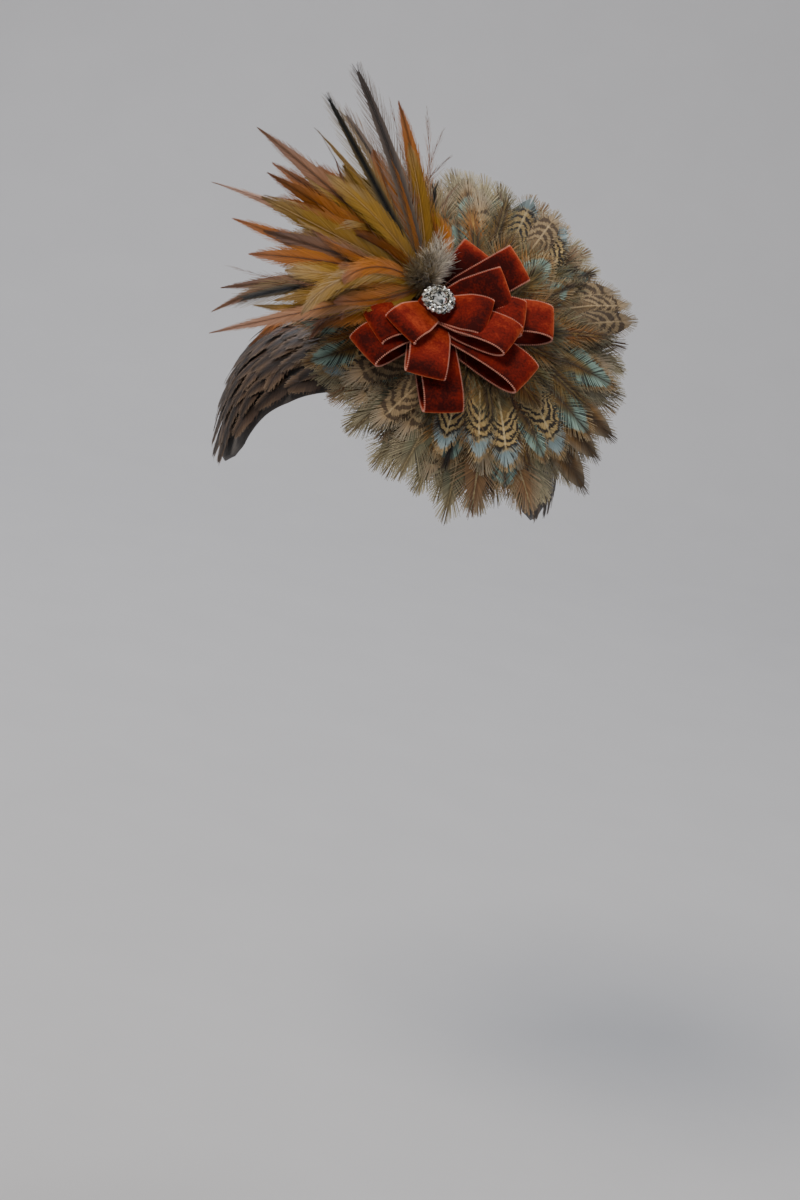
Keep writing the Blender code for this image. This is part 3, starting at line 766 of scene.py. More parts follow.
def plain_mesh(
    name: str, points: Array, faces: list, material: bpy.types.Material, smooth: bool = True
) -> bpy.types.Object:
    """Make an object from points and faces.

    Args:
        name: the piece's name.
        points: row-frame millimetres.
        faces: point numbers of each face.
        material: its finish.
        smooth: shade it smooth.

    Returns:
        The object.
    """
    mesh = bpy.data.meshes.new(name)
    mesh.from_pydata((np.asarray(points) * MM).tolist(), [], faces)
    mesh.validate()
    mesh.update()
    mesh.polygons.foreach_set("use_smooth", [smooth] * len(mesh.polygons))
    mesh.materials.append(material)
    item = bpy.data.objects.new(name, mesh)
    bpy.context.scene.collection.objects.link(item)
    return item


def ring_faces(rings: int, sides: int, start: int = 0, caps: bool = True) -> list:
    """Quads between rings of points.

    Args:
        rings: how many rings.
        sides: points in each ring.
        start: number of the first point.
        caps: close the two ends.

    Returns:
        The faces.
    """
    faces = []
    for r in range(rings - 1):
        a = start + r * sides
        for k in range(sides):
            after = (k + 1) % sides
            faces.append((a + k, a + after, a + sides + after, a + sides + k))
    if caps:
        last = start + (rings - 1) * sides
        faces.append(tuple(reversed(range(start, start + sides))))
        faces.append(tuple(range(last, last + sides)))
    return faces


def finish_piece(item: bpy.types.Object, slot: str, *nodes: str) -> bpy.types.Object:
    """Let a piece ride on the headband and hide the solids that it stands for.

    Args:
        item: the piece.
        slot: the record's material slot; not used.
        nodes: solids that it replaces.

    Returns:
        The piece.
    """
    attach(item, "root")
    if nodes:
        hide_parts(*nodes)
    item.data.calc_loop_triangles()
    LOG.info("%s: %d triangles", item.name, len(item.data.loop_triangles))
    return item


# Head form and pad plane


@dataclass(frozen=True)
class HeadForm:
    """The domed head form that the band is moulded to."""

    half_width: float = 71.5
    half_depth: float = 92.0
    dome_rise: float = 66.0
    centre_z: float = 21.0
    band_tip_z: float = 7.0
    wall: float = 2.0
    edges: tuple[tuple[float, float, float], ...] = (
        (0.00, -0.848, 0.054), (0.25, -0.826, 0.054), (0.45, -0.766, 0.065), (0.58, -0.723, 0.065),
        (0.70, -0.663, 0.065), (0.80, -0.620, 0.043), (0.89, -0.576, -0.011), (0.95, -0.500, -0.076),
        (1.00, -0.370, -0.163),
    )

    def seat(self) -> Array:
        """The head seat: the middle of the band's inner face."""
        y = 0.5 * (self.edges[0][1] + self.edges[0][2]) * self.half_depth
        return np.array([0.0, y, self.centre_z + self.dome_rise * math.sqrt(1 - (y / self.half_depth) ** 2)])

    def arch(self) -> float:
        """Length of half the arch, from crown to band tip."""
        return 0.5 * math.pi * 0.5 * (self.half_width + self.dome_rise) + self.centre_z - self.band_tip_z

    def at(self, share: Array, y: Array, offset: Array) -> Array:
        """Points on or over the form.

        Args:
            share: signed share of the half arch.
            y: depth in the head's frame.
            offset: height over the form.

        Returns:
            Row-frame points.
        """
        narrow = np.sqrt(np.maximum(0.0, 1 - (y / (self.half_depth + offset)) ** 2))
        full = math.pi / 2 + (self.centre_z - self.band_tip_z) / self.dome_rise
        angle = np.abs(share) * full
        drop = np.maximum(0.0, angle - math.pi / 2) * self.dome_rise
        arch = np.minimum(angle, math.pi / 2)
        x = np.sign(share) * (self.half_width + offset) * np.sin(arch) * narrow
        z = self.centre_z + (self.dome_rise + offset) * np.cos(arch) * narrow - drop
        return np.stack([x, y + 0 * x, z], -1) - self.seat()

    def band_edges(self, share: Array) -> tuple[Array, Array]:
        """Front and back edge of the band at this share of the arch.

        Args:
            share: from -1 at one tip to 1 at the other.

        Returns:
            Depths of the two edges.
        """
        shares, fronts, backs = np.array(self.edges).T
        near = np.abs(share)
        front, back = np.interp(near, shares, fronts), np.interp(near, shares, backs)
        return self.half_depth * front, self.half_depth * back


@dataclass(frozen=True)
class PadPlane:
    """The plane of the feather pad, which leans over the wearer's brow."""

    head: HeadForm = field(default_factory=HeadForm)
    azimuth: float = 12.0
    elevation: float = 33.0
    centre: tuple[float, float, float] = (27.2, -66.5, 89.9)
    crown: float = 4.5
    rim_drop: float = 11.0
    cover: float = 6.2
    reach: tuple[tuple[float, float], ...] = (
        (0, 77.0), (30, 68.0), (60, 68.0), (90, 66.0), (120, 68.0), (150, 75.0), (180, 73.0), (210, 68.0),
        (240, 64.0), (270, 72.0), (300, 72.0), (330, 70.0), (360, 77.0),
    )

    def axes(self) -> tuple[Array, Array, Array]:
        """Work out the directions of the plane.

        Returns:
            Its right, up and outward directions.
        """
        a, e = math.radians(self.azimuth), math.radians(self.elevation)
        normal = np.array([math.sin(a) * math.cos(e), -math.cos(a) * math.cos(e), math.sin(e)])
        right = np.array([math.cos(a), math.sin(a), 0.0])
        return right, np.cross(normal, right), normal

    def at(self, right: Array, up: Array, height: Array) -> Array:
        """Row-frame points from places in the plane.

        Args:
            right: places along the right direction.
            up: places along the up direction.
            height: heights over the plane.

        Returns:
            Points, with a last axis of three.
        """
        r, u, n = self.axes()
        spot = np.asarray(right)[..., None] * r + np.asarray(up)[..., None] * u + np.asarray(height)[..., None] * n
        return spot + np.array(self.centre) - self.head.seat()

    def rim(self, clock: Array) -> Array:
        """Radius of the pad's rim at a clock angle in degrees."""
        table = np.array(self.reach)
        return np.interp(np.mod(clock, 360.0), table[:, 0], table[:, 1])

    def dome(self, right: Array, up: Array) -> Array:
        """Height of the pad's front over its plane.

        Args:
            right: places along the right direction.
            up: places along the up direction.

        Returns:
            Heights, never below the covered band.
        """
        radius = np.hypot(right, up)
        swell = self.crown - (self.crown + self.rim_drop) * (radius / 75.0) ** 2.2
        return np.maximum(swell, self.head_height(right, up) + 2.4)

    def head_height(self, right: Array, up: Array) -> Array:
        """Height over the plane at which a point just clears the covered band.

        Args:
            right: places along the right direction.
            up: places along the up direction.

        Returns:
            Heights, far below the plane where the line misses the head.
        """
        _, _, n = self.axes()
        start = self.at(right, up, 0 * np.asarray(right)) + self.head.seat() - np.array([0, 0, self.head.centre_z])
        axes = np.array([self.head.half_width, self.head.half_depth, self.head.dome_rise]) + self.cover
        p = start / axes
        d = np.broadcast_to(n / axes, p.shape).copy()
        low = start[..., 2] < 0
        p[low, 2] = 0.0
        d[low, 2] = 0.0
        a, b, c = (d * d).sum(-1), (p * d).sum(-1), (p * p).sum(-1) - 1
        inside = b * b - a * c
        return np.where(inside <= 0, -1e3, (-b + np.sqrt(np.maximum(inside, 0))) / a)


# Sub-assemblies


@dataclass
class FeatherBand:
    """The felt crescent and the small lapped feathers on it."""

    head: HeadForm
    gap: float = 0.5
    felt_steps: tuple[int, int] = (121, 25)
    # Turned edge of the felt: how deep it tucks in, over what width, and the ridge of the row of stitches behind it
    tuck_depth: float = 0.75
    tuck_width: float = 1.6
    ridge_height: float = 0.18
    ridge_in: float = 3.2
    ridge_width: float = 0.9
    wave_height: float = 0.06  # unevenness of the hand-moulded felt
    exposure: float = 9.6
    across: float = 10.0
    feather_length: float = 23.0
    feather_width: float = 8.6
    overhang: float = 0.6  # how far a row's tips reach past its place, in rows
    last_tip: float = 0.97
    sweep: float = 14.0  # how far the feathers at the two edges turn inwards, in degrees
    sway: float = 8.0
    rise: float = 2.2  # how far a tip stands off the felt
    rise_spread: float = 0.7
    cut: FeatherCut = FeatherCut(
        barbs=26, segments=3, strand=0.6, web=0.86, web_lines=16, rake_root=52.0, rake_tip=20.0, loose=0.15,
        outline=((0.0, 0.7), (0.3, 1.0), (0.7, 0.9), (0.9, 0.6), (1.0, 0.3)), ragged=0.06, curl=0.3, fan=1.2,
        cup=1.8, twist=8.0, bow=0.6, stray=2.5,
    )

    def build(self, rng: np.random.Generator) -> None:
        """Build the felt and its feathers.

        Args:
            rng: source of unevenness.
        """
        self.build_felt()
        self.build_cover(rng)

    def build_felt(self) -> None:
        """Build the moulded felt, with a stitched binding fold at its edge."""
        shares = np.linspace(-1, 1, self.felt_steps[0])
        across = np.linspace(0, 1, self.felt_steps[1])
        s, t = np.meshgrid(shares, across, indexing="ij")
        front, back = self.head.band_edges(s)
        y = front + (back - front) * t
        edge = np.minimum(np.minimum(t, 1 - t) * (back - front), (1 - np.abs(s)) * self.head.arch())
        tuck = self.tuck_depth * (1 - np.minimum(1, edge / self.tuck_width)) ** 2
        roll = self.ridge_height * np.exp(-(((edge - self.ridge_in) / self.ridge_width) ** 2))
        wave = self.wave_height * np.sin(0.31 * y + 9 * s)
        outer = self.head.at(s, y, self.head.wall - tuck + wave)
        inner = self.head.at(s, y, tuck + roll)
        rows, columns = s.shape
        points = np.concatenate([outer.reshape(-1, 3), inner.reshape(-1, 3)])
        index = np.arange(rows * columns).reshape(rows, columns)
        low = index + rows * columns
        quads = []
        for grid, turned in ((index, False), (low, True)):
            q = np.stack([grid[:-1, :-1], grid[:-1, 1:], grid[1:, 1:], grid[1:, :-1]], -1).reshape(-1, 4)
            quads.append(q[:, ::-1] if turned else q)
        loop = np.concatenate([index[0, :-1], index[:-1, -1], index[-1, :0:-1], index[:0:-1, 0]])
        under = np.concatenate([low[0, :-1], low[:-1, -1], low[-1, :0:-1], low[:0:-1, 0]])
        after, below = np.roll(loop, -1), np.roll(under, -1)
        quads.append(np.stack([loop, under, below, after], -1))
        faces = [tuple(int(v) for v in f) for f in np.concatenate(quads)]
        item = plain_mesh("band_felt", points, faces, FeltFinish("moulded_felt").material())
        finish_piece(item, "band_cloth", "band")

    def build_cover(self, rng: np.random.Generator) -> None:
        """Lap the feathers from the band's tips up to the crown.

        Args:
            rng: source of unevenness.
        """
        mesh = StrandMesh()
        arch = self.head.arch()
        rows = int(arch / self.exposure)
        for hand in (-1.0, 1.0):
            for row in range(rows, -1, -1):
                tip = min((row + self.overhang) * self.exposure / arch, self.last_tip)
                front, back = (float(v) for v in self.head.band_edges(np.array(min(tip, 1.0))))
                count = max(3, round((back - front) / self.across))
                for k in range(count + 1):
                    t = (k + 0.5 * (row % 2)) / count
                    if t > 1.02:
                        continue
                    y0 = front + (back - front) * t + rng.normal(0, 0.7)
                    self.lay_one(mesh, rng, hand, tip + rng.normal(0, 0.008), y0, arch, (y0 - front) / (back - front))
        item = mesh.build("band_feathers_lapped", BAND_VANE.material())
        finish_piece(item, "band_feather", "band_feathers")

    def lay_one(
        self, mesh: StrandMesh, rng: np.random.Generator, hand: float, tip: float, y0: float, arch: float, t: float
    ) -> None:
        """Lay one feather on the band.

        Args:
            mesh: where it goes.
            rng: source of unevenness.
            hand: side of the head, minus one or one.
            tip: share of the arch that its tip reaches.
            y0: depth of its tip.
            arch: length of the half arch.
            t: place between the band's front and back edge.
        """
        length = self.feather_length * (1 + 0.08 * rng.normal())
        width = self.feather_width * (1 + 0.07 * rng.normal())
        feather = Feather(self.cut, length, width, rng.normal(0, 1.5)).grow(rng)
        turn = math.radians(self.sweep * (0.5 - t) + rng.normal(0, self.sway))
        proud = rng.random() * self.rise_spread
        thick = self.head.wall + self.gap

        def place(grid: Array) -> Array:
            """Bend a flat grid over the band, its tip at the given share of the arch."""
            x, y, z = grid[..., 0], grid[..., 1] - length, grid[..., 2]
            out = y * math.cos(turn) - x * math.sin(turn)
            across = x * math.cos(turn) + y * math.sin(turn)
            share = tip + out / arch
            depth = y0 + across * hand
            lift = 0.3 + (self.rise + proud) * np.clip(1 + y / length, 0, 1.1)
            return self.head.at(hand * share, depth, thick + lift + 0.5 * z)

        lay(mesh, feather, place, rng.random())


class PadTier(Enum):
    """Rings of the feather pad, from the rim inwards."""

    RIM = "rim"
    FRINGE = "fringe"
    PATTERN = "pattern"
    SHOULDER = "shoulder"
    DOWN = "down"
    CENTRE = "centre"


@dataclass(frozen=True)
class TierPlan:
    """One ring of pad feathers: where its tips end, how many and how big they are, in millimetres."""

    tier: PadTier
    reach: float
    count: int
    length: float
    width: float
    height: float
    lift: float
    kinds: tuple[tuple[FeatherFinish, float], ...]


RUMP_CUT = FeatherCut(
    barbs=60, strand=0.4, web=0.68, web_lines=30, rake_root=60.0, rake_tip=4.0, loose=0.3, cup=1.6, twist=14.0,
    outline=((0.0, 0.7), (0.3, 1.0), (0.6, 1.05), (0.8, 1.0), (0.92, 0.92), (1.0, 0.84)), curl=0.04, fan=5.0,
    ragged=0.05, stray=1.6, crowd=1.9, shaft=0.16,
)
RIM_CUT = FeatherCut(
    barbs=50, strand=0.44, web=0.46, web_lines=18, rake_root=60.0, rake_tip=4.0, loose=0.25, cup=0.8, twist=12.0,
    outline=((0.0, 0.8), (0.3, 1.0), (0.6, 1.08), (0.85, 1.05), (1.0, 0.92)), curl=0.02, fan=6.0, ragged=0.05,
    stray=1.2, crowd=2.1, shaft=0.14,
)
DOWN_CUT = FeatherCut(
    barbs=66, strand=0.3, web=0.36, web_lines=16, rake_root=60.0, rake_tip=6.0, loose=0.8, cup=0.5, twist=35.0,
    outline=((0.0, 0.8), (0.6, 1.08), (0.85, 1.0), (1.0, 0.88)), curl=0.06, fan=4.0, ragged=0.12, stray=4.0,
    crowd=1.6, shaft=0.14,
)
TUFT_CUT = FeatherCut(
    barbs=44, strand=0.22, web=0.0, rake_root=50.0, rake_tip=6.0, loose=1.6, cup=0.3, twist=60.0, ragged=0.3,
    outline=((0.0, 0.8), (0.6, 1.1), (1.0, 0.9)), curl=-0.2, fan=1.6, stray=14.0, shaft=0.08,
)


@dataclass
class FeatherPad:
    """The domed pad: a felt base under rings of overlapping rump and saddle feathers."""

    plane: PadPlane
    tiers: tuple[TierPlan, ...] = (
        TierPlan(PadTier.RIM, 1.0, 64, 34.0, 11.5, -2.6, 0.4, ((FRINGE, 0.85), (RUST_FRINGE, 0.15))),
        TierPlan(PadTier.FRINGE, 0.93, 54, 34.0, 11.0, -1.4, 1.0,
                 ((FRINGE, 0.5), (RUST_FRINGE, 0.15), (TEAL_RUMP, 0.2), (BUFF_RUMP, 0.15))),
        TierPlan(PadTier.PATTERN, 0.84, 38, 33.0, 10.5, 0.0, 1.6,
                 ((TEAL_RUMP, 0.35), (BUFF_RUMP, 0.2), (GINGER_DOWN, 0.2), (OLIVE_DOWN, 0.25))),
        TierPlan(PadTier.SHOULDER, 0.70, 34, 32.0, 10.5, 1.2, 2.2,
                 ((BARRED, 0.15), (OLIVE_DOWN, 0.45), (GINGER_DOWN, 0.3), (TEAL_RUMP, 0.1))),
        TierPlan(PadTier.DOWN, 0.56, 32, 28.0, 10.0, 2.2, 2.8, ((OLIVE_DOWN, 0.6), (GINGER_DOWN, 0.4))),
        TierPlan(PadTier.CENTRE, 0.42, 24, 24.0, 9.0, 3.0, 2.6, ((OLIVE_DOWN, 0.7), (GINGER_DOWN, 0.3))),
    )
    placed: tuple[tuple[float, float, float, float, FeatherFinish], ...] = (
        (263, 75, 10.0, 3.2, TEAL_RUMP), (270, 68, 9.5, 2.4, OLIVE_DOWN), (248, 67, 10.0, 3.8, BARRED),
        (254, 72, 10.0, 2.8, TEAL_RUMP), (238, 60, 9.0, 2.6, BUFF_RUMP), (225, 66, 9.5, 1.8, FRINGE),
        (214, 62, 9.0, 2.6, BUFF_RUMP), (190, 56, 10.0, 3.0, BARRED), (174, 57, 11.0, 3.2, BARRED),
        (160, 60, 10.0, 3.4, BARRED), (150, 58, 9.5, 2.6, GINGER_DOWN), (137, 63, 12.0, 4.0, BARRED),
        (148, 62, 9.5, 3.0, TEAL_RUMP), (122, 66, 10.0, 2.6, TEAL_RUMP), (128, 75, 10.5, -0.6, OCHRE_PETAL),
        (138, 77, 10.5, -1.2, OCHRE_PETAL), (119, 73, 10.0, -0.8, OCHRE_PETAL),
        (110, 58, 9.5, 2.8, OLIVE_DOWN), (104, 64, 9.5, 2.4, TEAL_RUMP), (92, 58, 9.0, 2.8, GINGER_DOWN),
        (82, 72, 10.0, 1.8, BUFF_RUMP), (70, 73, 10.0, 2.2, BUFF_RUMP), (60, 69, 10.0, 1.8, BUFF_RUMP),
        (66, 56, 9.0, 3.0, OLIVE_DOWN), (40, 66, 9.5, 1.6, BARRED), (28, 68, 10.0, 2.0, BUFF_RUMP),
        (16, 70, 10.5, 2.4, BARRED), (6, 66, 9.5, 2.0, OLIVE_DOWN), (169, 76, 12.0, -1.6, RUST_FRINGE),
        (158, 75, 11.5, -1.9, RUST_FRINGE), (181, 77, 11.5, -1.8, FRINGE), (200, 70, 11.0, -1.2, FRINGE),
        (262, 64, 9.0, 1.2, GINGER_DOWN),
    )
    base_share: float = 0.8
    base_sink: float = 3.2  # how far the felt lies under the feathers
    base_edge: float = 2.2
    base_swell: float = 3.0
    heel_at: tuple[float, float] = (-8.0, -14.0)
    heel_radius: float = 38.0
    heel_depth: float = 14.0

    def build(self, rng: np.random.Generator) -> None:
        """Build the base and every ring.

        Args:
            rng: source of unevenness.
        """
        self.build_base()
        meshes: dict[FeatherFinish, StrandMesh] = {}
        for plan in self.tiers:
            LOG.info("pad ring %s: %d feathers", plan.tier.value, plan.count)
            shares = np.array([share for _, share in plan.kinds])
            for k in range(plan.count):
                clock = 360.0 * (k + 0.5 * (plan.count % 2) + 0.3 * rng.normal()) / plan.count
                kind = plan.kinds[rng.choice(len(shares), p=shares / shares.sum())][0]
                self.lay_one(meshes.setdefault(kind, StrandMesh()), rng, plan, clock, kind)
        for clock, reach, width, height, kind in self.placed:
            share = reach / float(self.plane.rim(clock))
            plan = TierPlan(PadTier.PATTERN, share, 1, 33.0, width, height, 2.0, ())
            self.lay_one(meshes.setdefault(kind, StrandMesh()), rng, plan, clock, kind)
        for kind, mesh in meshes.items():
            item = mesh.build("pad_" + kind.name, kind.material())
            finish_piece(item, "pad_feather", "pad_feathers")

    def lay_one(
        self, mesh: StrandMesh, rng: np.random.Generator, plan: TierPlan, clock: float, kind: FeatherFinish
    ) -> None:
        """Lay one feather on the dome, its tip outwards.

        Args:
            mesh: where it goes.
            rng: source of unevenness.
            plan: its ring.
            clock: its direction from the pad's centre, in degrees.
            kind: its finish.
        """
        downy = kind in (OLIVE_DOWN, GINGER_DOWN)
        length = plan.length * (1 + 0.07 * rng.normal())
        width = plan.width * (1 + 0.1 * rng.normal())
        cut = DOWN_CUT if downy else RIM_CUT if kind in (FRINGE, RUST_FRINGE) else RUMP_CUT
        feather = Feather(cut, length, width, rng.normal(0, 1.5)).grow(rng)
        tip = float(self.plane.rim(clock)) * plan.reach * (1 + 0.015 * rng.normal()) - 0.7 * width
        turn = math.radians(clock)
        lean = turn + math.radians(rng.normal(0, 7))
        root = tip - length
        lift = plan.lift * (1 + 0.4 * rng.normal())

        def place(grid: Array) -> Array:
            """Lay a flat grid on the dome."""
            x, y, z = grid[..., 0], grid[..., 1], grid[..., 2]
            right = root * math.sin(turn) + y * math.sin(lean) + x * math.cos(lean)
            up = root * math.cos(turn) + y * math.cos(lean) - x * math.sin(lean)
            height = self.plane.dome(right, up) + plan.height + z + lift * np.clip(y / length, 0, 1.4) ** 1.5
            return self.plane.at(right, up, height)

        lay(mesh, feather, place, rng.random())

    def build_base(self) -> None:
        """Build the felt base that the feathers are sewn to, and its heel on the band."""
        clocks = np.radians(np.arange(0, 360, 4))
        shares = np.linspace(0.06, 1.0, 16)
        rings = []
        for k, share in enumerate(np.concatenate([shares, shares[::-1]])):
            radius = self.plane.rim(np.degrees(clocks)) * self.base_share * share
            right, up = radius * np.sin(clocks), radius * np.cos(clocks)
            top = self.plane.dome(right, up) - self.base_sink
            if k < len(shares):
                rings.append(self.plane.at(right, up, top))
                continue
            room = self.plane.head_height(right, up) + 0.3
            far = np.hypot(right - self.heel_at[0], up - self.heel_at[1]) / self.heel_radius
            heel = self.heel_depth * np.clip(3 * (1 - far), 0, 1)
            low = np.maximum(top - self.base_edge - self.base_swell * (1 - share) - heel, room)
            rings.append(self.plane.at(right, up, np.minimum(low, top - 0.8)))
        points = np.concatenate(rings)
        faces = ring_faces(len(rings), len(clocks))
        item = plain_mesh("pad_base_felt", points, faces, FeltFinish("base_felt", "201912", "43362a").material())
        finish_piece(item, "pad_feather", "pad_feathers")


@dataclass(frozen=True)
class PlumeRow:
    """One hackle: direction and lift in degrees, sizes in millimetres."""

    clock: float
    lift: float
    length: float
    width: float
    bend: float
    sag: float
    kind: FeatherFinish


@dataclass
class HacklePlume:
    """The spray of long pointed hackles, with down at its root."""

    plane: PadPlane
    root_at: tuple[float, float] = (-24.2, 9.9)
    root_height: float = 15.8
    cut: FeatherCut = FeatherCut(
        barbs=110, segments=2, strand=0.26, web=0.72, web_lines=36, rake_root=30.0, rake_tip=12.0, loose=0.15, cup=1.1,
        outline=((0.0, 0.55), (0.15, 0.9), (0.35, 1.0), (0.55, 0.86), (0.75, 0.52), (0.9, 0.2), (1.0, 0.03)),
        bare=0.03, curl=0.3, twist=10.0, shaft=0.3, bow=0.0, fan=1.0, ragged=0.05, stray=1.2, blade=True,
    )
    loose_cut: FeatherCut = FeatherCut(
        barbs=110, segments=3, strand=0.2, web=0.4, web_lines=36, rake_root=30.0, rake_tip=14.0, loose=0.3, cup=0.8,
        outline=((0.0, 0.5), (0.15, 0.95), (0.4, 1.1), (0.7, 0.9), (0.9, 0.5), (1.0, 0.15)),
        bare=0.03, curl=0.35, twist=12.0, shaft=0.4, bow=0.0, fan=1.0, ragged=0.1, stray=1.8, blade=True,
    )
    wisp_cut: FeatherCut = FeatherCut(
        barbs=30, segments=2, strand=0.16, web=0.0, rake_root=14.0, rake_tip=8.0, loose=0.2, cup=0.3,
        outline=((0.0, 0.3), (0.5, 0.4), (1.0, 0.05)),
        bare=0.1, curl=0.2, twist=20.0, shaft=0.22, bow=0.0, fan=1.0, ragged=0.3, stray=3.0, blade=True,
    )
    copies: int = 4
    # The main hackle of each row, and the shorter ones that fill in beside it: lengths as shares, the rest in degrees
    fill_length: tuple[float, float] = (0.42, 0.42)
    fill_spread: float = 8.0
    fill_lift: tuple[float, float] = (-1.0, 4.0)
    tilts: tuple[float, float] = (18.0, 32.0)
    turning: float = 28.0
    bends: tuple[float, float] = (2.0, 10.0)
    vane_share: float = 0.56  # half width of the vane, as a share of the width in the rows
    wisps: tuple[tuple[float, float, float], ...] = (
        (0, 14, 66), (6, 12, 56), (352, 16, 74), (12, 10, 46), (318, 8, 78), (262, 14, 88), (242, 10, 80),
        (340, 16, 78),
    )
    hackles: tuple[tuple, ...] = (
        (246, 13, 99, 7, 2, 10, HACKLE_ROSE), (251, 13, 70, 8, 4, 3, HACKLE_GOLD),
        (252, 8, 93, 8, 14, 8, HACKLE_ROSE), (253, 13, 82, 9, 10, 6, HACKLE_DARK),
        (257, 10, 90, 8, 4, 4, HACKLE_ROSE), (262, 15, 64, 11, 3, 3, HACKLE_GOLD),
        (267, 12, 78, 10, 3, 4, HACKLE_GINGER), (271, 8, 66, 12, 0, 3, HACKLE_GOLD),
        (275, 14, 74, 10, 3, 4, HACKLE_ROSE), (278, 9, 86, 10, -2, 4, HACKLE_GINGER),
        (284, 11, 99, 9, 4, 5, HACKLE_ROSE), (285, 15, 79, 10, 3, 4, HACKLE_GOLD),
        (290, 8, 72, 12, 2, 3, HACKLE_GINGER), (293, 14, 81, 10, 4, 4, HACKLE_GINGER),
        (299, 9, 81, 11, 3, 4, HACKLE_GINGER), (301, 16, 95, 9, 3, 6, HACKLE_ROSE),
        (308, 11, 66, 12, 2, 3, HACKLE_GINGER), (315, 15, 60, 11, 0, 3, HACKLE_GOLD),
        (323, 15, 86, 8, 2, 5, HACKLE_DARK), (327, 10, 78, 9, 4, 4, HACKLE_GREY),
        (330, 14, 60, 10, 0, 3, HACKLE_GINGER), (333, 17, 92, 9, 6, 6, HACKLE_GREY),
        (338, 10, 52, 11, 0, 2, HACKLE_GOLD), (344, 13, 78, 9, 5, 5, HACKLE_GINGER),
        (349, 9, 50, 9, 2, 2, HACKLE_GOLD), (358, 12, 42, 6, 0, 2, HACKLE_DARK),
    )
    down_tufts: tuple[tuple[float, float, float, float, FeatherFinish], ...] = (
        (30, 24, 13, 4.0, DOWN_PALE), (18, 22, 18, 5.0, DOWN_PALE), (8, 20, 21, 5.2, DOWN_PALE),
        (358, 24, 15, 4.4, DOWN_PALE), (346, 18, 15, 4.6, DOWN_UMBER), (328, 20, 14, 5.0, DOWN_UMBER),
        (306, 22, 13, 5.0, DOWN_UMBER), (284, 22, 12, 4.6, DOWN_UMBER), (262, 26, 10, 4.2, DOWN_UMBER),
    )

    def build(self, rng: np.random.Generator) -> None:
        """Build the hackles and the down.

        Args:
            rng: source of unevenness.
        """
        meshes: dict[FeatherFinish, StrandMesh] = {}
        for values in self.hackles:
            row = PlumeRow(*values)
            for copy in range(self.copies):
                kind = row.kind if copy == 0 else (HACKLE_GOLD, HACKLE_GINGER)[int(rng.integers(2))]
                self.lay_one(meshes.setdefault(kind, StrandMesh()), rng, row, copy)
        for clock, lift, length in self.wisps:
            row = PlumeRow(clock, lift, length, 8.0, rng.normal(0, 8), 3.0, HACKLE_ROSE)
            self.lay_one(meshes.setdefault(row.kind, StrandMesh()), rng, row, 0, self.wisp_cut)
        for clock, lift, length, radius, kind in self.down_tufts:
            for _ in range(5):
                spread = PlumeRow(clock + rng.normal(0, 8), lift + rng.normal(0, 10), length, radius, 0, 0, kind)
                self.lay_down(meshes.setdefault(kind, StrandMesh()), rng, spread)
        for kind, mesh in meshes.items():
            item = mesh.build("plume_" + kind.name, kind.material())
            finish_piece(item, "hackle", "hackle_plume")

    def directions(self, clock: float, lift: float) -> tuple[Array, Array, Array]:
        """Across, along and facing directions of a feather that leaves the root.

        Args:
            clock: direction in the pad's plane, in degrees.
            lift: angle out of the plane, in degrees.

        Returns:
            Three unit vectors.
        """
        right, up, normal = self.plane.axes()
        c, e = math.radians(clock), math.radians(lift)
        along = math.cos(e) * (math.sin(c) * right + math.cos(c) * up) + math.sin(e) * normal
        across = math.cos(c) * right - math.sin(c) * up
        return across, along, np.cross(across, along)

    def lay_one(
        self, mesh: StrandMesh, rng: np.random.Generator, row: PlumeRow, copy: int, cut: FeatherCut | None = None
    ) -> None:
        """Lay one hackle.

        Args:
            mesh: where it goes.
            rng: source of unevenness.
            row: its place and size.
            copy: zero for the hackle itself, more for the shorter ones beside it.
            cut: how it grows, where its row's finish doesn't say.
        """
        main = copy == 0
        shrink = 1.0 if main else self.fill_length[0] + self.fill_length[1] * rng.random()
        length = row.length * shrink
        clock = row.clock + (0 if main else rng.normal(0, self.fill_spread))
        across, along, facing = self.directions(clock, row.lift + (0 if main else rng.normal(*self.fill_lift)))
        root = self.plane.at(np.array(self.root_at[0]), np.array(self.root_at[1]), np.array(self.root_height))
        loose = main and row.kind in (HACKLE_DARK, HACKLE_GREY)
        cut = cut or (self.loose_cut if loose else self.cut)
        feather = Feather(cut, length - 3, self.vane_share * row.width).grow(rng)
        tilt = math.radians(rng.normal(0, self.tilts[0] if main else self.tilts[1]))
        turning = math.radians(rng.normal(0, self.turning))
        bend = row.bend + rng.normal(0, self.bends[0] if main else self.bends[1])

        def place(grid: Array) -> Array:
            """Bow, twist and sag a flat grid along the hackle's way."""
            x, y, z = grid[..., :1], grid[..., 1:2], grid[..., 2:]
            t = y / length
            bow = bend * 2 * t * (1 - t)
            angle = tilt + turning * t
            wide = np.cos(angle) * across + np.sin(angle) * facing
            face = np.cos(angle) * facing - np.sin(angle) * across
            return root + (2 + y) * along + bow * across - row.sag * shrink * t * t * facing + x * wide + z * face

        lay(mesh, feather, place, rng.random())

    def lay_down(self, mesh: StrandMesh, rng: np.random.Generator, row: PlumeRow) -> None:
        """Lay one tuft of down at the root.

        Args:
            mesh: where it goes.
            rng: source of unevenness.
            row: its place and size.
        """
        across, along, facing = self.directions(row.clock, row.lift)
        root = self.plane.at(np.array(self.root_at[0]), np.array(self.root_at[1]), np.array(self.root_height))
        feather = Feather(TUFT_CUT, row.length * (0.8 + 0.3 * rng.random()), row.width).grow(rng)

        def place(grid: Array) -> Array:
            """Stand a flat grid at the plume's root."""
            return root + grid[..., :1] * across + (grid[..., 1:2] - 2) * along + 2.2 * grid[..., 2:] * facing

        lay(mesh, feather, place, rng.random())


